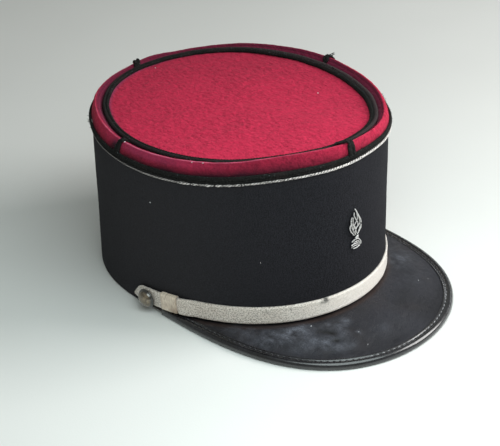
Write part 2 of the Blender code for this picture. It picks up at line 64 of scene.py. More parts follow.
# Angle, spread each way, outward, lift of the whole top, further lift of the rim, outward of the
# sunken top (mm).
TOP_SWELLS = [
    (8, 22, -0.2, 0.1, -0.9, 0.0), (28, 26, 0.4, -0.2, -1.6, -0.3), (48, 44, 0.6, -1.7, 0.2, -0.8),
    (96, 24, 0.2, 0.3, 0.5, -0.1), (122, 42, 0.4, 1.2, -0.3, 0.2), (146, 26, 0.0, 0.0, -0.8, 0.3),
    (175, 16, 0.0, 0.1, 0.9, -0.3), (180, 50, -0.6, -0.6, -1.4, -0.3), (212, 26, 0.9, 0.0, -0.8, -0.8),
    (252, 38, -0.6, 0.0, -0.3, 0.9), (272, 34, -0.2, -0.2, -1.0, 1.2), (300, 30, 0.7, -0.4, 0.1, 0.1),
    (333, 28, -1.1, 0.3, 1.1, 0.0),
]
# Edges that go up toward the front: mean height, rise and wave (mm).
ARCH, ARCH_LEAST = (3.1, 6.05, 1.16), 3.5 * MM
ARCH_ENDS, ARCH_FOOT = 90.0, 95.6
STRAP_LOW, STRAP_HIGH = (6.8, 2.45, 2.3), (16.5, 5.5, 0.6)

# The felt's section, outside to inside, with a crisp crest and a crease inside it (mm): half length,
# half width, height, share of the rim's own lift, share of the sunken top's move.
FELT_SECTION = [
    (97.6, 84.1, 103.1, 0.0, 0.0), (98.1, 84.0, 105.9, 0.0, 0.0), (97.8, 82.8, 109.3, 0.4, 0.0),
    (97.3, 81.7, 111.7, 0.85, 0.0), (96.8, 81.0, 112.8, 1.0, 0.0), (96.1, 80.2, 113.2, 1.0, 0.0),
    (95.4, 79.4, 112.8, 0.95, 0.1), (95.0, 78.6, 111.9, 0.85, 0.2), (94.8, 77.7, 111.4, 0.7, 0.4),
    (94.3, 76.1, 110.1, 0.35, 0.8), (94.0, 74.7, 108.8, 0.0, 1.0), (95.0, 76.2, 108.6, 0.0, 1.0),
    (95.5, 79.0, 110.6, 0.5, 0.3), (95.5, 81.3, 108.4, 0.0, 0.0), (95.2, 81.6, 103.1, 0.0, 0.0),
]
DISC_HALF_LENGTH, DISC_HALF_WIDTH, DISC_HEIGHT = 93.7 * MM, 74.4 * MM, 109.2 * MM
DISC_WALL, DISC_DOME = 2.0 * MM, 1.2 * MM
SEAM_BRAID_LOW, SEAM_BRAID_HIGH = 101.65 * MM, 105.9 * MM
SEAM_BRAID_TOP_HALF_LENGTH = 98.1 * MM
PIPING_RADIUS, PIPING_HEIGHT = 0.8 * MM, 100.6 * MM
CORD_HALF_LENGTH, CORD_HALF_WIDTH, CORD_HEIGHT = 91.75 * MM, 72.5 * MM, 109.6 * MM

PEAK_HALF_WIDTH, PEAK_LENGTH, PEAK_SQUARENESS = 82.4 * MM, 148.7 * MM, 3.65
PEAK_SKEW, PEAK_SKEW_AT = 4.2 * MM, 125.0 * MM
PEAK_END, PEAK_WALL, PEAK_DROP, PEAK_TUCK = 5.0 * MM, 1.6 * MM, 0.6 * MM, 2.2 * MM
PEAK_DOME, PEAK_DOME_ENDS, PEAK_DOME_EASE = 1.5 * MM, 0.82, 40.0 * MM
PEAK_EDGE_TOP, PEAK_EDGE_EASE = 2.9 * MM, 5.0 * MM
BINDING_NOSE = 1.3 * MM

# The strap's pointed end: angle, and the shares of its width cut away below and above.
STRAP_END = [(89.6, 0.0, 0.0), (91.4, 0.04, 0.12), (93.0, 0.12, 0.42), (94.1, 0.22, 0.66)]
STRAP_THICKNESS, STRAP_GAP = 1.2 * MM, 0.3 * MM
LOOP_ANGLES, LOOP_WALL, LOOP_EASE = (73.5, 80.3), 1.0 * MM, 7.0
LOOP_PINCH_LOW, LOOP_PINCH_HIGH, LOOP_PINCH_EASE = 1.9 * MM, 0.7 * MM, 0.3
BUTTON_ANGLE, BUTTON_HEIGHT = 86.9, 9.5 * MM


def mix(a, b, share):
    """The value between a and b."""
    return a + (b - a) * share


def smooth(share):
    """Ease from 0 to 1."""
    share = np.clip(share, 0.0, 1.0)
    return share * share * (3 - 2 * share)


def bump(x, middle, spread):
    """A soft bump of height 1 round the middle."""
    return np.exp(-((x - middle) / spread) ** 2)


def around(angle, middle, spread):
    """A soft bump round the crown, by angle."""
    return bump((angle - middle + 180) % 360 - 180, 0, spread)


def stations(count):
    """A column of angles evenly round the crown."""
    return (np.arange(count) * 360 / count)[:, None]


def stack(x, y, z):
    """Three arrays or numbers as points."""
    return np.stack(np.broadcast_arrays(x, y, z), axis=-1)


def unit(vectors):
    """Vectors brought to length 1."""
    return vectors / np.maximum(np.linalg.norm(vectors, axis=-1, keepdims=True), 1e-12)


def level_out(points):
    """Level directions away from the crown's middle."""
    return unit(points * (1.0, 1.0, 0.0))


def circle(side, other, turn):
    """Points of unit circles, a row of turns for each pair of directions."""
    return np.cos(turn)[:, None] * side[:, None] + np.sin(turn)[:, None] * other[:, None]


def run_length(path):
    """The length along a path up to each of its points."""
    return np.concatenate([[0], np.cumsum(np.linalg.norm(np.diff(path, axis=0), axis=1))])


def along_path(path, lengths):
    """The points of a path at lengths along it."""
    run = run_length(path)
    return np.stack([np.interp(lengths, run, column) for column in path.T], axis=-1)


def curve_through(rows, per, closed=False):
    """A smooth curve through rows of numbers, with so many points for each span."""
    rows = np.asarray(rows, float)
    count = len(rows)
    t = np.arange(per)[:, None] / per
    out = []
    for k in range(count if closed else count - 1):
        near = np.arange(k - 1, k + 3)
        a, b, c, d = rows[near % count if closed else near.clip(0, count - 1)]
        out.append(0.5 * (2 * b + (c - a) * t + (2 * a - 5 * b + 4 * c - d) * t ** 2
                          + (3 * b - a - 3 * c + d) * t ** 3))
    return np.concatenate(out if closed else out + [rows[-1:]])


def grain(points, size, seed, octaves=2):
    """Noise from about -1 to 1 at points in metres, with features of that size in metres."""
    flat = points.reshape(-1, 3) / size + seed * 17.3
    values = [noise.fractal(Vector(p), 0.8, 2.1, octaves) for p in flat]
    return np.array(values).reshape(points.shape[:-1])


def waver(x, y, z):
    """Plain noise from -1 to 1 at places."""
    places = stack(x, y, z)
    return np.array([noise.noise(Vector(p)) for p in places.reshape(-1, 3)]).reshape(places.shape[:-1])


def swell(angle, column):
    """One column of TOP_SWELLS, summed at an angle, in metres."""
    total = np.zeros_like(np.asarray(angle, float))
    for row in TOP_SWELLS:
        away = np.minimum(np.abs((angle - row[0] + 180) % 360 - 180) / row[1], 1)
        total = total + row[column] * (0.5 + 0.5 * np.cos(np.pi * away))
    return total * MM


def oval(angle, half_length, half_width, top):
    """Plan coordinates of the crown's oval; top is 0 for the foot's form and 1 for the top's."""
    t = np.radians(angle)
    egg, third, fourth = (mix(low, high, top) for low, high in zip(FOOT_FORM, TOP_FORM))
    reach = 1 + third * np.cos(3 * t) + fourth * np.cos(4 * t)
    return half_width * np.sin(t) * (1 + egg * np.cos(t)) * reach, -half_length * np.cos(t) * reach


def top_point(angle, half_length, half_width, height, rim=0.0, sunk=0.0):
    """Points of the top; height is counted at the crown's middle."""
    out = swell(angle, 2) + sunk * swell(angle, 5)
    x, y = oval(angle, half_length + out, half_width + out, 1)
    bow = TOP_BOW * ((y / BOW_REACH) ** 2 - 0.5)
    return stack(x, y, height + TOP_SLOPE * y + bow + swell(angle, 3) + rim * swell(angle, 4))


def seam_height(angle):
    """Height of the tube's top edge."""
    return top_point(angle, SEAM_HALF_LENGTH, SEAM_HALF_WIDTH, SEAM_HEIGHT)[..., 2]


def wall_point(angle, height, out=0.0):
    """Points of the tube's outer face, or out of it, at a height above the table."""
    rise = height / seam_height(angle)
    out = out + swell(angle, 2) * rise * rise
    x, y = oval(angle, mix(FOOT_HALF_LENGTH, SEAM_HALF_LENGTH, rise) + out,
                mix(FOOT_HALF_WIDTH, SEAM_HALF_WIDTH, rise) + out, rise)
    return stack(x, y, height)


def edge_height(edge, angle):
    """Height of an edge that goes up toward the front."""
    t = np.radians(angle)
    return (edge[0] + edge[1] * np.cos(t) + edge[2] * np.cos(2 * t)) * MM


def foot_height(angle):
    """Height of the tube's lower edge: an arch over the peak, the table behind it."""
    away = np.abs((angle + 180) % 360 - 180)
    back = ARCH_LEAST * (1 - smooth((away - ARCH_ENDS) / (ARCH_FOOT - ARCH_ENDS)))
    return np.where(away <= ARCH_ENDS, np.maximum(ARCH_LEAST, edge_height(ARCH, away)), back)


def felt_point(angle, row, out=0.0):
    """Points of the felt's section by row, between its rows too, or out of it in millimetres."""
    section = np.array(FELT_SECTION).T
    parts = (np.interp(row, np.arange(len(part)), part) for part in section)
    half_length, half_width, height, rim, sunk = parts
    return top_point(angle, (half_length + out) * MM, (half_width + out) * MM, height * MM, rim, sunk)


def felt_out(angle, row, aside, along):
    """Directions off the felt, found by steps of so many degrees aside and rows along."""
    across = felt_point(angle + aside, row) - felt_point(angle - aside, row)
    return unit(np.cross(across, felt_point(angle, row + along) - felt_point(angle, row - along)))


def disc_point(angle, share, drop=0.0):
    """Points of the sunken top, gently domed, or below it."""
    middle = DISC_HEIGHT - TOP_BOW * 0.5
    rise = DISC_HEIGHT + top_point(angle, DISC_HALF_LENGTH, DISC_HALF_WIDTH, 0.0)[..., 2] - middle
    out = (swell(angle, 2) + swell(angle, 5)) * share
    x, y = oval(angle, DISC_HALF_LENGTH * share + out, DISC_HALF_WIDTH * share + out, 1)
    return stack(x, y, middle + rise * share + DISC_DOME * (1 - share * share) - drop)


def lay_mesh(name, points, material, node=None, wrap=(False, True), marks=None, uv=None, flat=False):
    """A piece over a grid of points, or over a list of grids; wrap says which ways they close.

    An open grid gets a cap at each end. node is the CAD solid that the piece replaces. marks are
    numbers kept on the points, or one for each grid; uv is each point's place along and across, in mm.
    """
    grids = points if isinstance(points, list) else [points]
    faces, start = [], 0
    for grid in grids:
        index = np.arange(start, start + grid[..., 0].size).reshape(grid.shape[:2])
        start += index.size
        ends = index if wrap[1] else index.T
        for axis in (0, 1):
            if wrap[axis]:
                index = np.concatenate([index, index.take([0], axis)], axis)
        quads = np.stack([index[:-1, :-1], index[1:, :-1], index[1:, 1:], index[:-1, 1:]], axis=-1)
        faces += quads.reshape(-1, 4).tolist()
        if not all(wrap):
            faces += [ends[0].tolist(), ends[-1, ::-1].tolist()]
    mesh = bpy.data.meshes.new(name)
    mesh.from_pydata((np.concatenate([grid.reshape(-1, 3) for grid in grids]) + CROWN).tolist(), [], faces)
    if uv is not None:
        wide = stack(*uv, 0.0)[..., :2]
        step = (0.0, wide[0, -1, 1] - wide[0, -2, 1])
        wide = np.concatenate([wide, wide[:, -1:] + step], axis=1)
        if wrap[0]:
            wide = np.concatenate([wide, wide[-1:] * 2 - wide[-2:-1] * (1, 0) - wide[-1:] * (0, 1)])
        corners = np.stack([wide[:-1, :-1], wide[1:, :-1], wide[1:, 1:], wide[:-1, 1:]], axis=2).ravel()
        values = np.zeros(2 * len(mesh.loops))
        values[:len(corners)] = corners
        mesh.uv_layers.new(name="laid").data.foreach_set("uv", values)
    for label, values in (marks or {}).items():
        parts = zip(values if len(grids) > 1 else [values], grids)
        spread = [np.broadcast_to(value, grid.shape[:2]).ravel() for value, grid in parts]
        mesh.attributes.new(label, "FLOAT", "POINT").data.foreach_set("value", np.concatenate(spread))
    work = bmesh.new()
    work.from_mesh(mesh)
    bmesh.ops.recalc_face_normals(work, faces=work.faces)
    work.to_mesh(mesh)
    work.free()
    if not flat:
        mesh.shade_smooth()
    mesh.materials.append(material)
    piece = bpy.data.objects.new(name, mesh)
    bpy.context.collection.objects.link(piece)
    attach(piece, "root")
    if node:
        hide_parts(node)


def sweep(path, radius, sides=6):
    """A round tube's grid along a path; radius may vary along it."""
    along = unit(np.gradient(path, axis=0))
    side = unit(np.cross(along, (0.31, 0.17, 0.93)))
    ring = circle(side, np.cross(along, side), 2 * np.pi * np.arange(sides) / sides)
    return path[:, None] + ring * np.broadcast_to(radius, len(path))[:, None, None]


# ---------------------------------------------------------------- materials


def seen(*channels):
    """A colour as seen on the screen, 0 to 255, as linear light."""
    shares = [c / 255 for c in channels]
    return [c / 12.92 if c <= 0.04045 else ((c + 0.055) / 1.055) ** 2.4 for c in shares] + [1.0]


class Coat:
    """A Principled material and the few nodes that its looks are made of."""

    def __init__(self, name, **sockets):
        self.material = bpy.data.materials.new(name)
        self.material.use_nodes = True
        self.tree = self.material.node_tree
        self.shader = self.tree.nodes["Principled BSDF"]
        for label, value in sockets.items():
            self.shader.inputs[label.replace("_", " ")].default_value = value
        place = self.tree.nodes.new("ShaderNodeTexCoord")
        self.place, self.laid = place.outputs["Object"], place.outputs["UV"]

    def link(self, out, socket):
        """Joins an output, or sets a plain value."""
        if isinstance(out, bpy.types.NodeSocket):
            self.tree.links.new(out, socket)
        else:
            socket.default_value = out

    def node(self, kind, output, inputs, **settings):
        """Adds a node with its settings and inputs, and gives one of its outputs."""
        node = self.tree.nodes.new("ShaderNode" + kind)
        for label, value in settings.items():
            setattr(node, label, value)
        for label, value in inputs.items():
            self.link(value, node.inputs[label])
        return node.outputs[output]

    def times(self, a, b, plus=0.0):
        """a times b, plus a number."""
        return self.node("Math", 0, {0: a, 1: b, 2: plus}, operation="MULTIPLY_ADD")

    def scaled(self, vector, scale, turn=0):
        """Coordinates turned about Z by so many degrees and scaled."""
        turned = (0, 0, math.radians(turn))
        return self.node("Mapping", 0, {"Vector": vector, "Scale": scale, "Rotation": turned})

    def noise(self, scale, detail=2.0, vector=None, rough=0.5, twist=0.0):
        """Noise from 0 to 1."""
        inputs = {"Vector": vector or self.place, "Scale": scale, "Detail": detail}
        return self.node("TexNoise", "Fac", {**inputs, "Roughness": rough, "Distortion": twist})

    def bands(self, scale, turn):
        """Soft stripes on a laid piece, slightly wavy."""
        vector = self.scaled(self.laid, (1, 1, 1), turn)
        return self.node("TexWave", "Fac", {"Vector": vector, "Scale": scale, "Distortion": 1.5})

    def ramp(self, value, low, high, end=1.0, start=0.0):
        """A number carried smoothly from low and high to start and end."""
        limits = {"From Min": low, "From Max": high, "To Min": start, "To Max": end}
        return self.node("MapRange", 0, {"Value": value, **limits}, interpolation_type="SMOOTHSTEP")

    def mark(self, label):
        """A number kept on the mesh's points."""
        return self.node("Attribute", "Fac", {}, attribute_name=label)

    def paint(self, base, layers):
        """The base colour, with layers of (share or mark's name, colour), each over the last."""
        colour = seen(*base)
        for share, over in layers:
            share = self.mark(share) if isinstance(share, str) else share
            colour = self.node("Mix", 2, {0: share, 6: colour, 7: seen(*over)}, data_type="RGBA")
        self.set("Base Color", colour)

    def set(self, label, out):
        """Feeds one of the shader's sockets."""
        self.link(out, self.shader.inputs[label])

    def bumped(self, layers):
        """The material, with bump from (height, depth in metres) layers, each on the last."""
        under = {}
        for height, depth in layers:
            normal = self.node("Bump", 0, {"Strength": 1.0, "Distance": depth, "Height": height, **under})
            under = {"Normal": normal}
        self.set("Normal", normal)
        return self.material


def felt_coat():
    """Napped crimson felt, dimpled and brushed along the hat; its marks paint a pale highlight on the crest
    that also stands for wear, and shade in its folds, on the inner wall and away from the light.
    """
    coat = Coat("crimson_felt", Roughness=0.95, Sheen_Weight=0.06, Sheen_Roughness=0.5,
                Sheen_Tint=(1.0, 0.5, 0.6, 1.0), Specular_IOR_Level=0.06)
    brushed = coat.scaled(coat.place, (620, 330, 480), -16)
    nap = coat.noise(1.0, 4.0, brushed, 0.6, 0.9)
    pits = coat.noise(0.62, 3.0, brushed, 0.55, 1.6)
    # Of the marks: painted shade on the inner wall; painted shade with random tone; a grey of faded nap; a
    # pale painted highlight on the crest that also stands for wear.
    coat.paint((138, 21, 48), [
        (coat.ramp(nap, 0.28, 0.72), (203, 42, 76)), (coat.ramp(pits, 0.54, 0.76, 0.36), (128, 17, 45)),
        (coat.ramp(coat.noise(1300, rough=0.6), 0.3, 0.7, 0.5), (207, 58, 87)),
        (coat.ramp(coat.noise(26), 0.35, 0.7, 0.22), (212, 44, 80)),
        ("painted_wall_shade", (76, 31, 52)), ("soil_and_shade", (52, 22, 33)), ("grey", (132, 64, 98)), ("rub_and_highlight", (228, 132, 162))])
    return coat.bumped([(coat.noise(0.42, 1.0, brushed, 0.4, 1.0), 0.0008), (nap, 0.0004)])


def wool_coat():
    """Black milled wool with a short nap and a faint paler bloom."""
    coat = Coat("black_wool", Roughness=0.95, Sheen_Weight=0.02, Sheen_Roughness=0.5,
                Sheen_Tint=(0.95, 0.95, 1.0, 1.0), Specular_IOR_Level=0.08)
    fine = coat.noise(1500, 3.0, rough=0.65)
    bloom = coat.ramp(coat.noise(16), 0.35, 0.7, 0.3)
    # The last layer lightens the wool near its top edge, and on the wearer's right as painted light.
    coat.paint((20, 20, 23), [(coat.ramp(fine, 0.3, 0.72), (43, 43, 48)), (bloom, (38, 37, 42)),
                              ("dust_and_painted_light", (70, 68, 70))])
    weave = coat.noise(1.0, 2.0, coat.scaled(coat.place, (900, 900, 420)), 0.55)
    return coat.bumped([(weave, 0.0003), (fine, 0.0003)])


def braid_coat():
    """Black mohair braid, dry and slightly green with age, brown where it has faded."""
    coat = Coat("black_braid", Roughness=0.85, Specular_IOR_Level=0.1, Sheen_Weight=0.02,
                Sheen_Roughness=0.4, Sheen_Tint=(0.95, 1.0, 0.97, 1.0))
    fine = coat.noise(1500, 3.0, rough=0.65)
    coat.paint((12, 12, 12), [
        (coat.ramp(fine, 0.3, 0.75), (38, 38, 37)),
        (coat.ramp(coat.noise(90, 3.0), 0.45, 0.75, 0.45), (46, 38, 38)),
        ("faded", (66, 55, 57)), (coat.ramp(coat.noise(900, rough=0.6), 0.64, 0.72, 0.5), (96, 104, 108))])
    return coat.bumped([(fine, 0.0005)])


def wire_coat(name, low, high, mark, dull, scale, depth, **sockets):
    """Silver wire with painted glints, random brighter specks in its colour, dull where a mark says so."""
    coat = Coat(name, **sockets)
    glint = coat.noise(scale)
    coat.paint(low, [(coat.ramp(glint, 0.3, 0.7), high), (mark, dull)])
    return coat.bumped([(glint, depth)])


def lace_coat(name, warm):
    """Silver lace: a fine canvas of flattened wire with dark specks, or the keepers' warmer ribbed kind."""
    coat = Coat(name, Roughness=0.5, Specular_IOR_Level=0.5, Sheen_Weight=0.3, Sheen_Roughness=0.5,
                Sheen_Tint=(1.0, 0.97, 0.94, 1.0))
    speck = coat.noise(1.0, 3.0, coat.scaled(coat.laid, (0.95, 1.2, 1.0)), 0.75)
    broad = coat.noise(70, 3.0)
    if warm:
        weave = coat.noise(1.0, 3.0, coat.scaled(coat.laid, (0.3, 1.9, 1.0)), 0.6)
        base, layers = (196, 176, 158), [(coat.ramp(weave, 0.35, 0.65), (240, 226, 208)),
                                         (coat.ramp(broad, 0.45, 0.75, 0.25), (206, 186, 160))]
    else:
        weave = coat.times(coat.bands(0.34, 38), coat.bands(0.4, -52))
        # The specks show most where the strap is greyed toward the wearer's right, by painted shade and age.
        specks = coat.times(coat.ramp(speck, 0.48, 0.57), coat.times(coat.mark("age_and_shade"), 2.9, 0.2))
        base, layers = (250, 238, 228), [(coat.ramp(weave, 0.05, 0.5), (255, 253, 250)),
                                         (specks, (126, 112, 102)),
                                         (coat.ramp(broad, 0.45, 0.75, 0.2), (228, 212, 198))]
    # The last layers: greying toward the wearer's right that is painted shade and age, stains, and rusty
    # brown with painted shade at the keepers' ends.
    coat.paint(base, layers + [("age_and_shade", (176, 162, 142)), ("stain", (58, 56, 54)), ("rust_and_shade", (132, 100, 74))])
    return coat.bumped([(weave, 0.00012), (speck, 0.0001)])


def leather_coat():
    """Black leather gone dull: fine grain, brown by the strap, hazed and speckled by scuffs, with painted
    reflection in the broad pale patches by the strap on the wearer's left.
    """
    coat = Coat("black_leather", Specular_IOR_Level=0.4)
    creases = coat.noise(260, 4.0, None, 0.6, 0.5)
    broad = coat.noise(34, 3.0, rough=0.6)
    streak = coat.noise(1.0, 4.0, coat.scaled(coat.place, (520, 190, 190), 60), 0.65)
    haze_and_reflection = coat.times(coat.mark("haze_and_reflection"), coat.ramp(streak, 0.3, 0.68, 1.0, 0.55))
    haze_and_reflection = coat.times(haze_and_reflection, coat.ramp(coat.noise(1200, rough=0.6), 0.35, 0.62, 1.0, 0.45))
    coat.paint((21, 21, 27), [(coat.ramp(broad, 0.3, 0.7), (36, 36, 43)), ("brown", (62, 46, 38)),
                              (haze_and_reflection, (124, 128, 140)), ("dark", (8, 8, 10))])
    coat.set("Roughness", coat.ramp(creases, 0.3, 0.7, 0.62, 0.42))
    pores = coat.node("TexVoronoi", "Distance", {"Vector": coat.place, "Scale": 1500})
    return coat.bumped([(broad, 0.0008), (creases, 0.0003), (pores, 0.00012)])


def binding_coat():
    """Polished black binding leather."""
    coat = Coat("glossy_leather", Specular_IOR_Level=0.5, Coat_Weight=0.9, Coat_Roughness=0.1)
    creases = coat.noise(320, 4.0, None, 0.6, 0.4)
    coat.paint((12, 11, 15), [(coat.ramp(coat.noise(45), 0.35, 0.7), (25, 24, 30))])
    coat.set("Roughness", coat.ramp(creases, 0.3, 0.7, 0.38, 0.24))
    return coat.bumped([(creases, 0.00005)])


def stitch_coat():
    """Waxed thread, grey where its mark is high, for wear and as painted light along the front, and black
    with polish elsewhere.
    """
    coat = Coat("stitch_thread", Roughness=0.6)
    coat.paint((30, 29, 35), [("mark", (206, 206, 210))])
    return coat.bumped([(coat.noise(3000), 0.0001)])


def metal_coat():
    """An old nickelled button: brown where it has tarnished, still smooth on its crown."""
    coat = Coat("old_metal", Metallic=0.55, Coat_Weight=1.0, Coat_Roughness=0.06, Coat_IOR=1.8)
    stain = coat.noise(330, 4.0, None, 0.65, 0.6)
    # The rim mark paints a dark ring round the button's edge: painted shade.
    coat.paint((78, 65, 48), [(coat.ramp(stain, 0.3, 0.7), (146, 129, 104)),
                              (coat.ramp(coat.noise(140), 0.4, 0.7, 0.4), (86, 73, 56)),
                              ("rim", (34, 31, 27))])
    coat.set("Roughness", coat.ramp(stain, 0.3, 0.7, 0.4, 0.26))
    return coat.bumped([(stain, 0.00006)])


def lint_coat():
    """Specks of pale lint."""
    coat = Coat("lint", Roughness=0.9)
    coat.paint((180, 180, 182), [(coat.noise(3000), (248, 248, 250))])
    return coat.material


FELT = felt_coat()
WOOL = wool_coat()
BRAID = braid_coat()
CORD = wire_coat("silver_cord", (212, 202, 198), (255, 250, 248), "wear_and_shade", (44, 38, 36), 2400, 0.00012,
                 Metallic=0.15, Roughness=0.45, Specular_IOR_Level=0.5)
LACE = lace_coat("silver_braid", False)
KEEPER = lace_coat("silver_braid_turned", True)
LEATHER = leather_coat()
BINDING = binding_coat()
STITCH = stitch_coat()
METAL = metal_coat()
PURL = wire_coat("silver_thread", (160, 156, 156), (246, 244, 242), "mark", (96, 88, 86), 2600, 0.00015,
                 Metallic=0.3, Roughness=0.36, Specular_IOR_Level=0.6)
LINT = lint_coat()

# ---------------------------------------------------------------- the tube and the felt

HEM = 1.2 * MM
SECTION_STEPS = 5
TUBE_STATIONS, TUBE_ROWS = 320, 56
BAND_STATIONS = 512
DISC_STATIONS, DISC_RINGS, DISC_UNDER_RINGS = 400, 110, 12


def make_tube():
    """The wool tube, very slightly wavy, its foot turned under."""
    angle = stations(TUBE_STATIONS)
    foot, head = foot_height(angle), seam_height(angle)
    outer = mix(foot + HEM, head, np.linspace(1, 0, TUBE_ROWS))
    inner = outer[:, ::-3]
    turn = np.radians((30, 60, 90, 120, 150))
    height = np.concatenate([outer, foot + HEM - HEM * np.sin(turn), inner], axis=1)
    out = np.concatenate([np.zeros(outer.shape[1]), BODY_WALL / 2 * (np.cos(turn) - 1),
                          np.full(inner.shape[1], -BODY_WALL)])
    points = wall_point(angle, height, out)
    wave = grain(points, 42 * MM, 1) * 0.35 * MM + grain(points, 9 * MM, 2) * 0.06 * MM
    calm = smooth((height - foot) / (14 * MM)) * smooth((head - height) / (8 * MM))
    points = points + level_out(points) * (wave * calm)[..., None]
    # Lighter near the top edge, and lighter on the wearer's right, away from the light, as painted light.
    dust_and_painted_light = (bump(height, head, 5 * MM) * 0.12 + 0.3 * around(angle, -90, 44)) * (out > -MM)
    lay_mesh("tube_wool", points, WOOL, "crown_body", (True, True), {"dust_and_painted_light": dust_and_painted_light})


def make_turban():
    """The felt band rolled over the rim: a crisp crest with a pale painted highlight that also stands for
    wear, painted shade at its foot, in its crease and away from the light, and a dark inner wall of painted
    shade.
    """
    angle = stations(BAND_STATIONS)
    rows = curve_through(FELT_SECTION, SECTION_STEPS, closed=True)
    half_length, half_width, height, rim, sunk = rows.T
    points = top_point(angle, half_length * MM, half_width * MM, height * MM, rim, sunk)
    ahead, across = (np.roll(points, -1, axis) - np.roll(points, 1, axis) for axis in (0, 1))
    lumps = grain(points, 10 * MM, 3) * 0.2 + grain(points, 2.2 * MM, 4, 3) * 0.12
    points = points - unit(np.cross(ahead, across)) * (lumps * MM)[..., None]
    row = np.arange(len(rows)) / SECTION_STEPS
    outside = smooth((5.2 - row) / 0.6)
    inner = row < 10.6
    inside = smooth((row - 5.6) / 0.6) * inner
    # A pale painted highlight along the crest, strongest on the wearer's right, which also stands for wear.
    rub_and_highlight = np.clip(bump(row, 4.7, 0.36) * (0.75 + 0.5 * grain(points, 5 * MM, 5)), 0, 1)
    rub_and_highlight = rub_and_highlight * (0.06 + 0.6 * around(angle, -78, 46) + 0.25 * around(angle, -112, 14))
    # Painted shade: darker on the wearer's right, away from the light, and at the foot; lighter at the front
    # on the wearer's left; beside the right upright, in the crease and down the inner wall. Random patches
    # of tone are added.
    foot = smooth((2.9 - row) / 2.4)
    soil_and_shade = outside * (0.22 + 0.32 * around(angle, -42, 36) - 0.13 * around(angle, 26, 30)
                      + foot * (0.22 + 0.45 * around(angle, -80, 62)))
    soot_and_shadow = 0.6 * around(angle, -99.6, 2.6) * bump(row, 2.0, 1.5)
    crease = np.maximum(0.45 * bump(row, 7.0, 0.5), 0.45 * smooth((row - 8.0) / 1.6) * inner)
    patch = 0.12 * grain(points, 14 * MM, 15)
    soil_and_shade = np.clip(soil_and_shade + soot_and_shadow + crease * inside + patch * (outside + inside), 0, 1)
    right = around(angle, -85, 35)
    # Painted shade down the inner wall, from just inside the crest, starting on the crest at the back.
    painted_wall_shade = smooth((row - mix(5.4, 4.3, around(angle, 150, 75))) / 0.6) * inner * (0.85 - 0.3 * right)
    grey = inside * bump(row, 8.8, 1.2) * 0.4 * right
    grey = grey + outside * 0.37 * around(angle, -84, 24) * smooth((row - 1.4) / 1.2)
    lay_mesh("turban_felt", points, FELT, "turban", (True, True),
             {"rub_and_highlight": rub_and_highlight, "soil_and_shade": soil_and_shade, "grey": grey, "painted_wall_shade": painted_wall_shade})


def make_disc():
    """The sunken felt top: dimpled, greyed along its edge at the wearer's back right, painted shade along
    the rest of its edge, and darker toward the back and the wearer's left.
    """
    angle = stations(DISC_STATIONS)
    share = np.append(np.linspace(0.004, 1, DISC_RINGS) ** 0.72, np.linspace(1, 0.02, DISC_UNDER_RINGS))
    drop = np.repeat((0.0, DISC_WALL), (DISC_RINGS, DISC_UNDER_RINGS))
    points = disc_point(angle, share, drop)
    lift = grain(points, 26 * MM, 6) * 0.3 + grain(points * (1.9, 1.0, 1.4), 4.6 * MM, 7, 3) * 0.2
    points[..., 2] += lift * MM * (drop == 0) * smooth((1 - share) / 0.03)
    back_right = around(angle, -140, 70)
    grey = smooth((share - (0.95 - 0.03 * back_right)) / 0.05) * (0.25 + 0.6 * back_right)
    # Painted shade along the edge, by the cord and the rim's wall, less at the back right; the top is also
    # darker toward the back and the wearer's left.
    edge = 0.45 * smooth((share - 0.93) / 0.07) * (1 - 0.8 * back_right)
    x, y = points[..., 0], points[..., 1]
    far = 0.06 + 0.14 * smooth((y + 20 * MM) / (110 * MM)) + 0.12 * smooth(x / (70 * MM))
    lay_mesh("disc_felt", points, FELT, "crown_top", (True, False),
             {"soil_and_shade": np.clip(edge + far, 0, 1), "grey": grey})


# ---------------------------------------------------------------- braids and piping

BRAID_STATIONS = 1800
SEAM_LENGTH, CORD_LENGTH, PIPING_LENGTH = 579, 518, 575     # nominal mm round, to space the weave
PIPING_STATIONS, PIPING_SIDES, PIPING_PITCH = 2600, 12, 4.0
LOBE_POINTS = 15


def plait(along, across, pitch):
    """The height of a two-lobed plait, 0 to 1: strands slant up to the middle groove from both sides."""
    return 0.5 + 0.5 * np.cos(2 * np.pi * (along / pitch + np.abs(across) * 0.9))


def lobed(groove, foot, under):
    """A two-lobed cord's section: across from -1 to 1 and up from 0 to 1, then back at a height below."""
    turn = np.linspace(0, np.pi, LOBE_POINTS)
    across = -np.cos(turn)
    up = np.sin(turn) ** 0.6 * (1 - groove * bump(across, 0, 0.28))
    return np.append(across, (foot, 0.0, -foot)), np.append(up, (under,) * 3)


def seam_braid_point(angle, rise, out, shift=0.0):
    """Points on the seam braid: rise from 0 at its foot to 1, and off the felt."""
    return top_point(angle, mix(SEAM_HALF_LENGTH, SEAM_BRAID_TOP_HALF_LENGTH, rise) + out,
                     SEAM_HALF_WIDTH + out, mix(SEAM_BRAID_LOW, SEAM_BRAID_HIGH, rise) + shift)


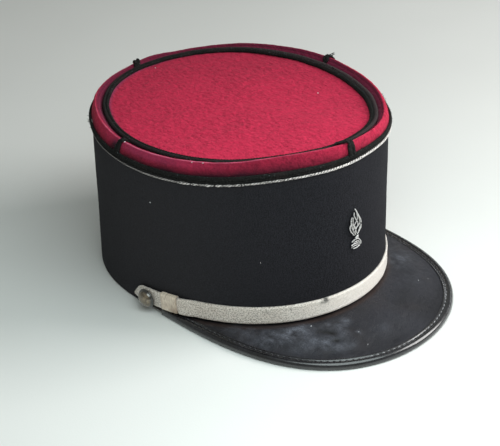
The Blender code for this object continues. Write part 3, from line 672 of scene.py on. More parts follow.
def make_seam_braid():
    """The flat braid over the seam, plaited, rounded along both edges."""
    angle = stations(BRAID_STATIONS)
    t = np.radians(angle)
    rise = np.linspace(0, 1, LOBE_POINTS)
    out = 1.5 * np.sin(np.pi * rise) ** 0.4 - 0.55 * bump(rise, 0.42, 0.09) - 0.12 * bump(rise, 0.8, 0.07)
    out[[0, -1]] = 0.1
    rise, out = np.append(rise, (0.8, 0.5, 0.2)), np.append(out, (0.0, 0.0, 0.0))
    weave = plait(8 + SEAM_LENGTH * angle / 360, rise * 2 - 1, 1.9) * 0.3
    face = (np.arange(len(rise)) < LOBE_POINTS) * np.sin(np.pi * rise) ** 0.5
    out = (0.35 + out + (weave - 0.1) * face) * MM
    wobble = waver(9 * np.cos(t), 9 * np.sin(t), 3.0) * 0.18 * MM
    points = seam_braid_point(angle, rise, out, wobble)
    lay_mesh("seam_braid", points, BRAID, "base_braid", (True, True))


def rim_cord_point(angle, across, up):
    """Points on the rim cord: across from -1 at its inner foot to 1, up in mm; it leans on the wall."""
    climb = 0.45 + 0.65 * np.cos(np.radians(angle - 30))
    wide = np.maximum(np.cos(np.radians(angle - 75)), 0)
    share = (across + 1) / 2
    lean = (0.2 + 0.9 * wide) * share ** 2 - 0.5 * wide * (1 - share) ** 2
    out = (across * 1.9 + lean) * MM
    height = CORD_HEIGHT + (up + climb * share + 0.5 * around(angle, -16, 26)) * MM
    return top_point(angle, CORD_HALF_LENGTH + out, CORD_HALF_WIDTH + out, height, 0.0, 1.0)


def make_rim_cord():
    """The two-lobed cord at the foot of the rim's inner wall, its outer lobe faded on the wearer's left."""
    angle = stations(BRAID_STATIONS)
    t = np.radians(angle)
    across, up = lobed(0.4, 0.6, -0.1 / 2.1)
    weave = plait(CORD_LENGTH * angle / 360, across, 1.7) * 0.34
    face = (np.arange(len(up)) < LOBE_POINTS) * np.sin(np.pi * (across + 1) / 2) ** 0.4
    wobble = waver(6 * np.cos(t), 6 * np.sin(t), 7.0) * 0.13
    wide = across * (1 + 0.08 * (weave - 0.1)) + wobble
    points = rim_cord_point(angle, wide, up * 2.1 + (weave - 0.12) * face)
    faded = smooth((across + 0.1) / 0.5) * (0.15 + 0.75 * around(angle, 70, 75))
    lay_mesh("rim_cord", points, BRAID, "rim_braid", (True, True), {"faded": faded})


# Each upright's angle and path over the felt: section row, degrees aside, millimetres off, width's share.
UPRIGHTS = {
    "front": (-1.7, [
        (0.9, 0.1, 0.5, 1.4), (1.6, 0.0, 0.45, 1.4), (2.6, -0.1, 0.45, 1.35), (3.4, -0.2, 0.5, 1.3),
        (4.2, -0.4, 0.6, 1.3), (5.0, -1.3, 0.8, 1.2), (5.5, -3.0, 0.9, 1.0), (5.9, -5.0, 0.8, 0.8),
        (6.4, -7.4, 0.6, 0.5)]),
    "right": (-96.8, [
        (0.9, -0.6, 0.5, 1.6), (1.6, -0.5, 0.45, 1.35), (2.6, -0.2, 0.45, 1.05), (3.4, -0.1, 0.45, 0.95),
        (4.2, 0.3, 0.5, 0.85), (5.0, 0.7, 0.5, 0.75), (6.0, 0.7, 0.5, 0.75), (7.4, 0.8, 0.4, 0.75),
        (8.6, 1.0, 0.4, 0.8)]),
    "back": (-178.4, [
        (0.9, 0.0, 0.5, 1.0), (1.6, 0.0, 0.45, 1.0), (2.6, 0.0, 0.45, 1.0), (3.4, 0.2, 0.5, 1.1),
        (4.2, 0.5, 0.5, 1.3), (5.0, 0.8, 0.5, 1.2), (5.8, 1.2, 0.6, 1.2), (7.0, 2.0, 0.6, 1.2),
        (8.4, 3.4, 0.5, 1.1)]),
    "left": (90.0, [
        (0.9, 0.0, 0.5, 1.0), (1.6, 0.0, 0.45, 1.0), (2.6, 0.0, 0.45, 1.0), (3.4, 0.2, 0.4, 1.0),
        (4.2, 0.6, 0.35, 1.0), (5.0, 1.0, 0.2, 1.0), (5.8, 1.2, 0.4, 1.1), (7.0, 0.8, 1.0, 1.2),
        (8.0, 0.4, 1.0, 1.1), (9.0, 0.2, 0.5, 0.9)]),
}


def make_upright(side, place, spots):
    """A two-lobed braid up the band, over the rim and down toward the rim cord."""
    row, turned, lift, wide = curve_through(spots, 9).T[..., None]
    row, angle = row[:, 0], place + turned[:, 0]
    middle = felt_point(angle, row)
    off = felt_out(angle, row, 0.3, 0.2)
    aside = unit(np.cross(unit(np.gradient(middle, axis=0)), off))
    across, up = lobed(0.62, 0.5, 0.0)
    length = run_length(middle)[:, None] / MM
    taper = 1 - 0.5 * smooth((length - length[-1] + 2.5) / 2.5)
    weave = plait(length, across, 1.5) * 0.26 * (up > 0.05)
    across = across * 1.85 * wide * taper * MM
    up = (lift + (up * 1.3 + weave) * taper) * MM
    points = middle[:, None] + aside[:, None] * across[..., None] + off[:, None] * up[..., None]
    lay_mesh("upright_" + side, points, BRAID, "braid_" + side)


def make_piping():
    """Silver thread wound into a cord of two twisted lobes, frayed and dark on the wearer's right."""
    angle = stations(PIPING_STATIONS)[:, 0]
    out = 0.35 * MM + PIPING_RADIUS * 0.9
    base = top_point(angle, SEAM_HALF_LENGTH + out, SEAM_HALF_WIDTH + out, PIPING_HEIGHT)
    along = unit(np.roll(base, -1, 0) - np.roll(base, 1, 0))
    outward = unit(np.cross(along, UP))
    away = (angle + 180) % 360 - 180
    fray = bump(away, -60, 17) + 0.75 * bump(away, -40, 12) + 0.5 * bump(away, -22, 8)
    picks, fine_picks = waver(angle * 0.55, 1.7, 0.3), waver(angle * 2.9, 9.7, 0.3)
    thin = np.clip(fray * (0.6 + 1.2 * picks), 0, 1)
    slim = (1 - 0.5 * smooth((-62 - away) / 26)) * (1 - 0.35 * thin) * (1 + 0.14 * fine_picks)
    base[:, 2] += 0.8 * MM * smooth((-80 - away) / 25) * smooth((away + 150) / 25)
    turn = 2 * np.pi * np.arange(PIPING_SIDES) / PIPING_SIDES
    twist = (2 * np.pi * round(PIPING_LENGTH / PIPING_PITCH) * angle / 360 + 1.5 * fine_picks)[:, None]
    strand = np.abs(np.cos(turn - twist))
    radius = PIPING_RADIUS * slim[:, None] * (0.55 + 0.45 * strand ** 0.7)
    points = base[:, None] + circle(outward, np.cross(outward, along), turn) * radius[..., None]
    # Darker on the wearer's right and back and where frayed; the grooves between the two lobes get painted
    # shade.
    dull = 0.7 * np.clip(0.8 * bump(away, -105, 28) + 0.5 * (np.abs(away) > 125), 0, 1)
    wear_and_shade = (dull + thin * (0.2 + 4.0 * np.maximum(fine_picks, 0)))[:, None]
    lay_mesh("piping_cord", points, CORD, "piping", (True, True),
             {"wear_and_shade": np.clip(wear_and_shade + smooth((0.72 - strand) / 0.4), 0, 1)})


# ---------------------------------------------------------------- the peak

# Marks on the peak's leather: plan place from the crown's middle, spread along and across,
# turn in degrees, strength (mm). Most are scuffs; the broad patches at (57, -84) and (61, -66), by
# the strap on the wearer's left, are painted reflection.
PEAK_HAZES_AND_REFLECTIONS = [
    (-44, -94.5, 8, 5, -24, 0.9), (-52, -91, 6, 6, 0, 0.15), (-38, -112, 7, 4.5, -15, 0.52),
    (-43, -106, 5, 5, 0, 0.3), (-23, -109, 6, 3.6, 8, 0.42), (-17.4, -109, 3.5, 3, 0, 0.25),
    (-28, -103, 5, 3, 0, 0.3), (-29, -123, 5, 3, -20, 0.25), (-35, -121, 5, 3, -20, 0.3),
    (-26, -115, 4, 4, 0, 0.35), (-17.9, -120.1, 1.6, 1.6, 0, 0.5), (-3, -127, 4, 3, 0, 0.1),
    (-58, -85, 8, 7, 0, 0.3), (-64, -68, 8, 10, 0, 0.26), (-52, -104, 6, 5, 0, 0.22),
    (57, -84, 11, 9, 0, 0.26), (47, -107, 9, 6, 0, 0.1), (61, -66, 6, 14, 0, 0.14),
    (12, -116, 10, 5, 10, 0.06),
]
PEAK_DARKS = [
    (-31.8, -107.5, 4.5, 1.8, -50, 0.85), (-32.5, -116.0, 2.3, 1.6, -40, 1.0),
    (-30, -110.5, 2.4, 1.6, -20, 0.6), (-35, -103, 3.0, 1.4, 20, 0.4), (28, -114, 12, 5, 20, 0.3),
]
# The binding's section: depth in from the outline, height above the leather's upper side (mm). Its
# top is drawn as a curve; the rest goes round under the edge and back along the leather.
BINDING_TOP = [(6.2, 0.2), (6.15, 0.55), (5.85, 0.7), (5.3, 0.6), (4.8, 0.4), (4.3, 0.25), (3.95, 0.4),
               (3.5, 0.95), (2.8, 1.35), (1.9, 1.4), (1.0, 0.95), (0.4, 0.15), (0.05, -0.85)]
BINDING_UNDER = [(0.05, -1.7), (0.3, -2.28), (0.9, -2.7), (1.8, -2.87), (3.5, -2.9), (5.5, -2.9),
                 (5.4, -1.9), (3.0, -1.9), (1.6, -1.9), (1.6, 0.2), (3.5, 0.2), (5.5, 0.2)]
BINDING_LEG, BINDING_CLEAR, BINDING_LEAST = 6.2 * MM, 0.5 * MM, 2.1 * MM
STITCH_DEPTH, STITCH_PITCH, STITCH_ROOM = 4.5 * MM, 3.7 * MM, 5.6 * MM
STITCH_POINTS = 7
PEAK_STATIONS, PEAK_ROWS, BINDING_STATIONS, STITCH_LINE_STATIONS = 260, 70, 420, 1600
CURVE_STEPS = 4001
FOOT_SPAN = 100                         # degrees each way from the front


def peak_axis(y):
    """Where the middle of the peak's width lies, at a place along the hat."""
    return PEAK_SKEW * smooth(-y / PEAK_SKEW_AT)


def foot_crossing(plan):
    """The foot's angle and its distance from the crown's middle, in the direction of plan places."""
    angles = np.linspace(-FOOT_SPAN, FOOT_SPAN, CURVE_STEPS)
    foot = wall_point(angles, foot_height(angles))
    heading, wanted = (np.degrees(np.arctan2(part[:, 0], -part[:, 1])) for part in (foot, plan))
    angle = np.interp(wanted, heading, angles)
    spot = wall_point(angle, foot_height(angle))
    return angle, np.hypot(spot[:, 0], spot[:, 1])


def peak_height(share, angle, foot, reach):
    """Height of the peak's upper side at a share of its depth."""
    under = foot_height(angle) - PEAK_DROP
    edge = mix(under, PEAK_EDGE_TOP, smooth((reach - foot) / PEAK_EDGE_EASE))
    away = np.minimum(share / PEAK_DOME_ENDS, 1.0) * 2 - 1
    dome = PEAK_DOME * (1 - away * away) ** 2 * smooth((reach - foot) / PEAK_DOME_EASE)
    return mix(under, edge, np.clip(share, 0, 1)) + dome


class PeakEdge:
    """Evenly spaced places on the peak's edge, from the wearer's right end to the left end.

    Kept for each are its plan and outward normal, its direction and distance from the crown's middle,
    the foot's angle and distance there, and the distance of the leather's own edge inside the binding.
    """

    def __init__(self, count, least=-math.inf):
        t = np.radians(np.linspace(-90, 90, CURVE_STEPS))
        y = -PEAK_LENGTH * np.cos(t).clip(0) ** (2 / PEAK_SQUARENESS)
        line = np.stack([peak_axis(y) + PEAK_HALF_WIDTH * np.sin(t), y], axis=-1)[y < -PEAK_END]
        plan = along_path(line, np.linspace(0, run_length(line)[-1], count))
        reach = np.linalg.norm(plan, axis=1)
        direction = plan / reach[:, None]
        angle, foot = foot_crossing(plan)
        across = (plan[:, 0] - peak_axis(plan[:, 1])) / PEAK_HALF_WIDTH
        ahead = (-plan[:, 1] / PEAK_LENGTH) ** (PEAK_SQUARENESS - 1)
        slopes = (2 * across / PEAK_HALF_WIDTH, -PEAK_SQUARENESS * ahead / PEAK_LENGTH)
        normal = unit(np.stack(slopes, axis=-1))
        leather = reach - BINDING_NOSE / (normal * direction).sum(axis=1)
        keep = reach - foot >= least
        self.plan, self.normal, self.direction = plan[keep], normal[keep], direction[keep]
        self.angle, self.foot = angle[keep], foot[keep]
        self.reach, self.leather = reach[keep], leather[keep]

    def inset(self, depth):
        """Points of the leather's upper side at a depth in from the edge."""
        plan = self.plan - self.normal * depth[:, None]
        tuck = self.foot - PEAK_TUCK
        share = (np.linalg.norm(plan, axis=1) - tuck) / (self.leather - tuck)
        return stack(plan[:, 0], plan[:, 1], peak_height(share, self.angle, self.foot, self.reach))


def patches(table, x, y):
    """The summed strength of oval patches at plan places."""
    total = np.zeros_like(x)
    for px, py, along, across, turn, strength in table:
        c, s = math.cos(math.radians(turn)), math.sin(math.radians(turn))
        u = ((x - px * MM) * c + (y - py * MM) * s) / (along * MM)
        v = (-(x - px * MM) * s + (y - py * MM) * c) / (across * MM)
        total = total + strength * np.exp(-(u * u + v * v))
    return total


def make_peak():
    """The leather peak, with its scuffs, pale patches that are partly painted reflection, and small dents.
    """
    edge = PeakEdge(PEAK_STATIONS)
    angle, foot = edge.angle[:, None], edge.foot[:, None]
    reach, leather = edge.reach[:, None], edge.leather[:, None]
    rows = np.linspace(0, 1, PEAK_ROWS)
    x, y = edge.direction.T[..., None] * mix(foot - PEAK_TUCK, leather, rows)
    z = peak_height(rows, angle, foot, reach)
    upper = stack(x, y, z)
    loose = smooth(rows / 0.12) * smooth((1 - rows) / 0.08)
    upper[..., 2] += (grain(upper, 7 * MM, 11, 3) * 0.12 - patches(PEAK_DARKS, x, y) * 0.35) * MM * loose
    points = np.concatenate([upper, stack(x, y, z - PEAK_WALL)[:, ::-3]], axis=1)
    x, y = points[..., 0], points[..., 1]
    # Pale patches: scuffs, with painted reflection in the broad ones by the strap on the wearer's left.
    haze_and_reflection = patches(PEAK_HAZES_AND_REFLECTIONS, x, y) * (0.75 + 0.8 * grain(points, 4 * MM, 12, 3))
    by_strap = bump(np.hypot(x, y), foot + 1.5 * MM, 2.0 * MM)
    brown = by_strap * 0.55 + 0.1 * np.clip(grain(points, 16 * MM, 13), 0, 1)
    marks = {"haze_and_reflection": haze_and_reflection, "dark": patches(PEAK_DARKS, x, y), "brown": brown}
    lay_mesh("peak_leather", points, LEATHER, "peak",
             marks={label: np.clip(values, 0, 1) for label, values in marks.items()})


def make_binding():
    """The strip folded over the peak's edge: a round roll, a stitched groove and a thin lip."""
    edge = PeakEdge(BINDING_STATIONS, BINDING_CLEAR + BINDING_LEAST)
    leg = np.minimum(BINDING_LEG, edge.reach - edge.foot - BINDING_CLEAR) / BINDING_LEG
    rows = []
    for depth, height in np.concatenate([curve_through(BINDING_TOP, 3), BINDING_UNDER]) * MM:
        row = edge.inset(depth * leg)
        row[:, 2] = np.maximum(row[:, 2] + height, 0.0)
        rows.append(row)
    lay_mesh("peak_trim", np.stack(rows, axis=1), BINDING, "peak_binding")


def make_stitches():
    """The row of stitches in the binding's groove."""
    rng = random.Random(5)
    edge = PeakEdge(STITCH_LINE_STATIONS, BINDING_CLEAR + STITCH_ROOM)
    line = edge.inset(np.full(len(edge.foot), STITCH_DEPTH)) + UP * 0.6 * MM
    bow = np.sin(np.linspace(0, np.pi, STITCH_POINTS))
    end = run_length(line)[-1]
    at = 0.0
    parts, marks = [], []
    while at + STITCH_PITCH < end:
        path = along_path(line, np.linspace(at, at + STITCH_PITCH * rng.uniform(0.42, 0.54), STITCH_POINTS))
        path[:, 2] += (0.5 * bow ** 0.6 - 0.45) * MM
        slant = rng.uniform(-0.12, 0.12) * MM
        path[:, :2] += np.linspace(-slant, slant, STITCH_POINTS)[:, None]
        parts.append(sweep(path, 0.28 * MM * (0.65 + 0.35 * bow)))
        middle = path[STITCH_POINTS // 2]
        where = math.degrees(math.atan2(middle[0], -middle[1]))
        # Grey along the front, for wear and as painted light; darker elsewhere.
        wear_and_painted_light = 0.12 + 0.68 * smooth((where + 19) / 12) * smooth((31 - where) / 12)
        marks.append(wear_and_painted_light * rng.uniform(0.45, 1.0))
        at += STITCH_PITCH
    lay_mesh("peak_stitches", parts, STITCH, marks={"mark": marks})


# ---------------------------------------------------------------- the chin strap

# Stains on the strap: angle, height (mm), spread of each, strength.
STRAP_STAINS = [(-15.4, 21.1, 1.3, 2.0, 1.3), (-16.9, 20.0, 0.9, 1.4, 0.6), (-29.8, 19.0, 0.7, 1.2, 0.45),
                (-38.8, 17.6, 1.6, 1.3, 0.35), (-36.0, 15.6, 0.9, 1.0, 0.3), (-43.0, 15.0, 1.2, 0.8, 0.25)]
STRAP_WIDTH, LOOP_WIDTH = 12, 12.9      # mm of weave
STRAP_ROWS = 25
STRAP_BEND, STRAP_TIP = 70, 94.1        # degrees where the strap's finer stations start and end
FRONT_STATIONS, END_STATIONS = 560, 120
BUTTON_STATIONS = 64
# The button's profile: radius and distance off the strap (mm).
BUTTON_PROFILE = [(1.0, 0.05), (4.4, 0.05), (5.6, 0.25), (6.1, 0.6), (6.2, 1.0), (6.0, 1.35), (5.75, 1.45),
                  (5.6, 1.6), (5.2, 2.5), (4.5, 3.3), (3.4, 4.05), (2.0, 4.55), (0.8, 4.75), (0.05, 4.8)]


def strap_off(angle):
    """How far the strap's inner face stands off the tube."""
    rise = smooth((np.abs(angle) - LOOP_ANGLES[0] + 1 + LOOP_EASE) / LOOP_EASE)
    return STRAP_GAP + (STRAP_GAP + LOOP_WALL) * rise


def strap_edges(angle):
    """Heights of the strap's lower and upper edges."""
    away = np.abs(angle)
    beyond = np.maximum(np.maximum(LOOP_ANGLES[0] - away, away - LOOP_ANGLES[1]), 0.0)
    pinch = 1 - smooth(beyond / LOOP_PINCH_EASE)
    low = edge_height(STRAP_LOW, away) + LOOP_PINCH_LOW * pinch
    high = edge_height(STRAP_HIGH, away) - LOOP_PINCH_HIGH * pinch
    ends, below, above = np.transpose(STRAP_END)
    width = high - low
    return low + np.interp(away, ends, below) * width, high - np.interp(away, ends, above) * width


def make_strap():
    """The silver lace strap: ribbed selvedges, a flat woven face, stained here and there."""
    end = np.linspace(STRAP_BEND, STRAP_TIP, END_STATIONS)
    front = np.linspace(-STRAP_BEND, STRAP_BEND, FRONT_STATIONS)[1:-1]
    angle = np.concatenate([-end[::-1], front, end])[:, None]
    share = np.linspace(0, 1, STRAP_ROWS)
    margin = np.minimum(share, 1 - share)
    rib = 0.12 * np.cos(2 * np.pi * margin / 0.13) * (margin < 0.13)
    face = np.clip(0.44 + 0.5 * np.clip(margin / 0.04, 0, 1) ** 0.5 + rib, 0, 1.05)
    share, face = np.append(share, (1.0, 0.66, 0.33, 0.0)), np.append(face, (0.0,) * 4)
    height = mix(*strap_edges(angle), share)
    off = strap_off(angle) + STRAP_THICKNESS * face
    points = wall_point(angle, height, off)
    ripple = grain(points, 3.0 * MM, 21) * 0.07 * (face > 0.2) + grain(points, 12 * MM, 22) * 0.12
    free = smooth(np.abs(np.abs(angle) - sum(LOOP_ANGLES) / 2) - (LOOP_ANGLES[1] - LOOP_ANGLES[0]) / 2)
    points = wall_point(angle, height, off + ripple * MM * free)
    stain = sum(strength * bump(angle, place, wide) * bump(height / MM, level, tall)
                for place, level, wide, tall, strength in STRAP_STAINS)
    stain = np.clip(stain * (0.7 + 0.8 * grain(points, 1.2 * MM, 23)) + 0.35 * bump(share, 1, 0.025), 0, 1)
    rust_and_shade = 0.45 * bump(share, 0, 0.05) * np.abs(grain(points, 8 * MM, 24))
    rust_and_shade = rust_and_shade + 0.2 * bump(angle, -62, 9) * bump(share, 0.7, 0.4) * (0.8 + grain(points, 4 * MM, 25))
    # Greyed toward the wearer's right, away from the light: painted shade that also stands for age. On the
    # strap, the rusty brown mark is real rust only.
    lay_mesh("strap_lace", points, LACE, "chin_strap",
             marks={"stain": stain, "rust_and_shade": rust_and_shade, "age_and_shade": 0.21 * smooth((-1 - angle) / 44)},
             uv=(run_length(points[:, STRAP_ROWS // 2])[:, None] / MM, share * STRAP_WIDTH))


def sleeve(angle, grown, corner):
    """A rounded rectangle round the strap at each angle: heights, distances off the tube, share of the
    height, and which points are on the outer side."""
    low, high = strap_edges(angle)
    low, high = low - grown, high + grown
    inner, outer = strap_off(angle) - grown, strap_off(angle) + STRAP_THICKNESS + grown

    def arc(k):
        at_outer, at_top = ((1, 0), (1, 1), (0, 1), (0, 0))[k % 4]
        turns = np.radians(np.linspace(0, 90, 4) + (k - 1) * 90)
        up = high - corner if at_top else low + corner
        out = outer - corner if at_outer else inner + corner
        return [(up + corner * math.sin(turn), out + corner * math.cos(turn)) for turn in turns]

    ring = []
    for k, steps in enumerate((16, 3, 16, 3)):
        here, after = arc(k), arc(k + 1)
        ring += here
        for s in np.linspace(0, 1, steps + 2)[1:-1]:
            ring.append(tuple(mix(p, q, s) for p, q in zip(here[-1], after[0])))
    height, off = (np.concatenate([spot[k] for spot in ring], axis=1) for k in (0, 1))
    return height, off, (height - low) / (high - low), off - inner > 0.6 * (outer - inner)


def make_loop(name, sign):
    """A keeper of the same lace turned on its side: fine ridges run over the strap."""
    count, inside_count, ridges = 96, 12, 16
    place = np.append(np.linspace(0, 1, count), np.linspace(1, 0, inside_count))[:, None]
    angle = sign * mix(*LOOP_ANGLES, place)
    height, off, share, facing = sleeve(angle[:count], STRAP_GAP + LOOP_WALL, 0.9 * MM)
    valleys = 0.5 - 0.5 * np.cos(2 * np.pi * ridges * place[:count])
    ends = smooth(np.minimum(np.arange(count), np.arange(count)[::-1]) / 3)[:, None]
    off = off - facing * (valleys * 0.16 + (1 - ends) * 0.25) * MM
    off = off + grain(wall_point(angle[:count], height, off), 5 * MM, 31) * 0.08 * MM * facing
    lining = sleeve(angle[count:], STRAP_GAP, 0.15 * MM)
    height, off, share = (np.concatenate(pair) for pair in zip((height, off, share), lining))
    # Rusty brown near one end, and painted shade at both ends, where the keeper meets the strap.
    rust_and_shade = (0.7 * bump(place, 0.18, 0.22) * bump(share, 0.1, 0.3) + 0.3 * bump(place, 0, 0.06)
            + 0.3 * bump(place, 1, 0.05))
    lay_mesh("keeper_" + name, wall_point(angle, height, off), KEEPER, "loop_" + name,
             (True, True), {"rust_and_shade": np.clip(rust_and_shade, 0, 1)}, (share * STRAP_WIDTH, place * LOOP_WIDTH))


def make_button(name, sign):
    """A plain domed button with a rolled rim, slightly dented."""
    angle = sign * BUTTON_ANGLE
    chord = wall_point(angle + 0.5, BUTTON_HEIGHT) - wall_point(angle - 0.5, BUTTON_HEIGHT)
    outward = unit(np.cross(chord, UP))
    side = np.cross(UP, outward)
    centre = wall_point(angle, BUTTON_HEIGHT, strap_off(angle) + STRAP_THICKNESS + 2 * STRAP_GAP)
    radius, rise = curve_through(BUTTON_PROFILE, 3).T[..., None] * MM
    turn = np.radians(stations(BUTTON_STATIONS))[:, 0]
    ring = circle(side[None], UP[None], turn)
    points = centre + ring.transpose(1, 0, 2) * radius + outward * rise
    dents = grain(points, 3.0 * MM, 41)[..., None] * 0.05 * MM * (rise > 1.5 * MM)
    # A dark ring at the rim, painted shade.
    rim = smooth((radius[:, 0] - 4.7 * MM) / (0.9 * MM))
    lay_mesh("dome_button_" + name, points + outward * dents, METAL, "button_" + name,
             (True, False), {"rim": rim})


# ---------------------------------------------------------------- the badge

# The badge's strands: places across and up (mm) that each passes through, then thickness and tarnish.
FLAME = [
    ([(-0.8, 75.9), (1.7, 71.0), (3.9, 66.6), (4.4, 64.2)], 0.42, 0.0),
    ([(4.2, 63.8), (3.9, 61.5), (2.5, 60.1), (1.6, 58.4)], 0.44, 0.0),
    ([(-1.5, 73.9), (-1.9, 72.0), (-0.8, 69.4), (0.5, 67.3)], 0.36, 0.1),
    ([(0.5, 72.9), (1.1, 69.6), (0.5, 67.4), (-0.8, 66.3)], 0.34, 0.15),
    ([(-3.0, 71.0), (-4.0, 69.1), (-3.8, 66.3), (-2.7, 62.8), (-1.5, 59.8)], 0.38, 0.05),
    ([(-4.0, 66.4), (-5.0, 64.8), (-4.3, 61.9), (-1.7, 58.4)], 0.4, 0.0),
    ([(-1.9, 70.5), (-2.8, 68.4), (-1.7, 65.4), (-0.6, 63.4)], 0.32, 0.3),
    ([(0.5, 67.3), (-1.6, 65.2), (-2.2, 63.2), (-2.6, 61.6)], 0.34, 0.2),
    ([(0.9, 67.0), (1.0, 64.4), (-0.8, 61.6), (-0.8, 58.2)], 0.36, 0.1),
    ([(3.8, 64.3), (1.4, 63.4), (-1.5, 62.9), (-2.9, 61.8)], 0.3, 0.3),
    ([(-3.2, 66.7), (-1.1, 63.2), (0.4, 59.0)], 0.32, 0.15),
    ([(3.5, 62.9), (2.1, 60.4), (0.4, 58.0)], 0.36, 0.0),
    ([(2.5, 68.4), (3.0, 65.4), (1.3, 64.0)], 0.3, 0.35),
    ([(1.4, 70.6), (2.4, 68.6), (3.2, 66.9)], 0.28, 0.3),
    ([(-2.6, 69.9), (-2.4, 68.0), (-3.1, 66.4)], 0.26, 0.4),
    ([(-3.6, 64.4), (-2.4, 61.8), (-1.0, 59.0)], 0.3, 0.3),
]
NECK = [
    ([(1.6, 57.4), (0.0, 57.3), (-1.3, 56.2)], 0.42, 0.0),
    ([(1.4, 56.6), (0.1, 56.4), (-1.2, 55.7)], 0.4, 0.1),
]
BALL = [
    ([(-3.5, 54.2), (-1.3, 55.2), (1.7, 54.8), (3.9, 51.9), (3.7, 49.9)], 0.42, 0.0),
    ([(-2.2, 53.5), (0.4, 53.7), (2.7, 52.1), (2.2, 50.3)], 0.34, 0.15),
    ([(-4.1, 52.3), (-1.7, 52.8), (0.8, 52.2)], 0.38, 0.05),
    ([(-3.9, 50.4), (-1.7, 51.2), (0.9, 50.9)], 0.36, 0.1),
    ([(-2.8, 49.7), (0.0, 49.5), (3.2, 49.8)], 0.38, 0.05),
    ([(-4.1, 52.2), (-3.0, 51.4), (-3.7, 50.4)], 0.26, 0.35),
    ([(0.2, 53.6), (1.2, 51.8), (0.4, 50.2)], 0.3, 0.3),
    ([(1.9, 52.6), (1.3, 51.0), (2.4, 49.9)], 0.26, 0.45),
]
# How far each group stands off the cloth (mm).
BADGE_LIFTS = ((FLAME, 1.15), (NECK, 1.7), (BALL, 1.2))
# The padded ground: height and half its width (mm).
BADGE_PAD = [(49.6, 2.4), (50.6, 3.6), (52.4, 4.2), (54.2, 3.6), (55.6, 2.0), (56.8, 1.3), (58.2, 2.0),
             (60.4, 3.7), (63.6, 4.5), (66.6, 4.0), (69.0, 3.3), (71.4, 2.2), (73.2, 1.2)]


def badge_point(across, height, off):
    """A place on the badge: across to the wearer's left, height and distance off the cloth, in mm."""
    across, height, off = across * MM, height * MM, (0.35 + off) * MM
    return stack(across, wall_point(0.0, height)[..., 1] - off + across ** 2 / (2 * FOOT_HALF_WIDTH), height)


def purl(path, radius, rng):
    """A coil of wire drawn along a path, as a ringed tube."""
    end = run_length(path)[-1]
    s = np.linspace(0, end, max(8, int(end / (0.13 * MM))))
    rings = 1 + 0.16 * np.cos(2 * np.pi * s / (0.42 * MM) + rng.uniform(0, 6))
    return sweep(along_path(path, s), radius * rings * np.clip(np.minimum(s, end - s) / (0.3 * MM), 0.3, 1))


def make_badge():
    """The flame over a ball: open strands of silver purl over a dark padded ground."""
    rng = random.Random(11)
    parts, marks = [], []
    for group, lift in BADGE_LIFTS:
        for k, (spots, radius, tarnish) in enumerate(group):
            across, height = curve_through(spots, 6).T
            middle = np.sqrt(np.clip(1 - (across / 6) ** 2, 0, 1))
            ends = np.sin(np.pi * np.linspace(0.12, 0.88, len(across))) ** 0.5
            off = lift * (0.55 + 0.45 * middle) * (0.6 + 0.4 * ends) + 0.12 * (k % 3)
            parts.append(purl(badge_point(across, height, off), radius * 0.86 * MM, rng))
            marks.append(tarnish)
    lay_mesh("badge_purl", parts, PURL, marks={"mark": marks})
    height, wide = curve_through(BADGE_PAD, 3).T[..., None]
    side = np.linspace(-1, 1, 15)
    lift = 0.1 + 0.7 * np.sqrt(1 - side ** 2) * np.minimum(wide / 2.5, 1)
    front, back = (badge_point(wide * side, height, off) for off in (lift, 0.0))
    lay_mesh("badge_padding", np.concatenate([front, back[:, ::-1]], axis=1), WOOL, "badge")


# ---------------------------------------------------------------- frayed threads, nap and lint

# Where braids have frayed: braid, angle, spread each way, count, length (mm).
FRAYS = [
    ("seam", 57.0, 1.8, 16, 2.4), ("seam", 60.5, 1.4, 12, 1.8), ("seam", 53.0, 1.5, 8, 1.5),
    ("seam", 66.0, 2.0, 8, 1.4), ("seam", -128.0, 2.0, 14, 2.2), ("seam", -123.0, 1.6, 9, 1.5),
    ("rim", -177.0, 1.6, 12, 1.3), ("rim", 90.6, 1.2, 10, 1.5), ("cord", -13.5, 1.2, 12, 1.5),
    ("cord", 83.0, 1.2, 14, 1.4), ("rim", -97.0, 0.8, 6, 1.0),
]
# The left upright's torn ends: degrees aside, length (mm), rise.
TORN = [(2.6, 7.2, 0.1), (2.2, 7.0, 0.16), (1.8, 5.6, 0.02), (1.2, 4.2, 0.3), (2.0, 3.4, -0.1),
        (0.4, 3.0, 0.4)]
# Lint with its size (mm): at an angle and height, share of the disc or section row, or at a plan place.
LINT_ON_TUBE = [(-81.8, 79.6, 0.45), (-39.8, 51.5, 0.4)]
LINT_ON_DISC = [(64.0, 0.65, 0.35), (177.8, 0.9, 0.4)]
LINT_ON_BAND = [(-63.4, 4.2, 0.4), (-59.1, 4.3, 0.35), (-95.4, 5.6, 0.5)]
LINT_ON_PEAK = [(-34.4, -97.0, 0.4), (-20.9, -129.9, 0.45), (47.3, -108.8, 0.2), (54.0, -110.7, 0.25),
                (-17.9, -120.1, 0.25)]
LINT_REACH = PEAK_LENGTH * 0.96
THREAD_POINTS = 9
WOOL_HAIRS, FELT_HAIRS, BRAID_HAIRS = 9000, 8000, 7000


def tuft(start, aim, length, rng, bend=0.5):
    """One loose thread's path."""
    curl = np.array([rng.uniform(-1, 1) for _ in range(3)]) * bend
    s = np.linspace(0, 1, THREAD_POINTS)[:, None]
    return start + (unit(np.array(aim)) * s + curl * s * s * 0.6) * length


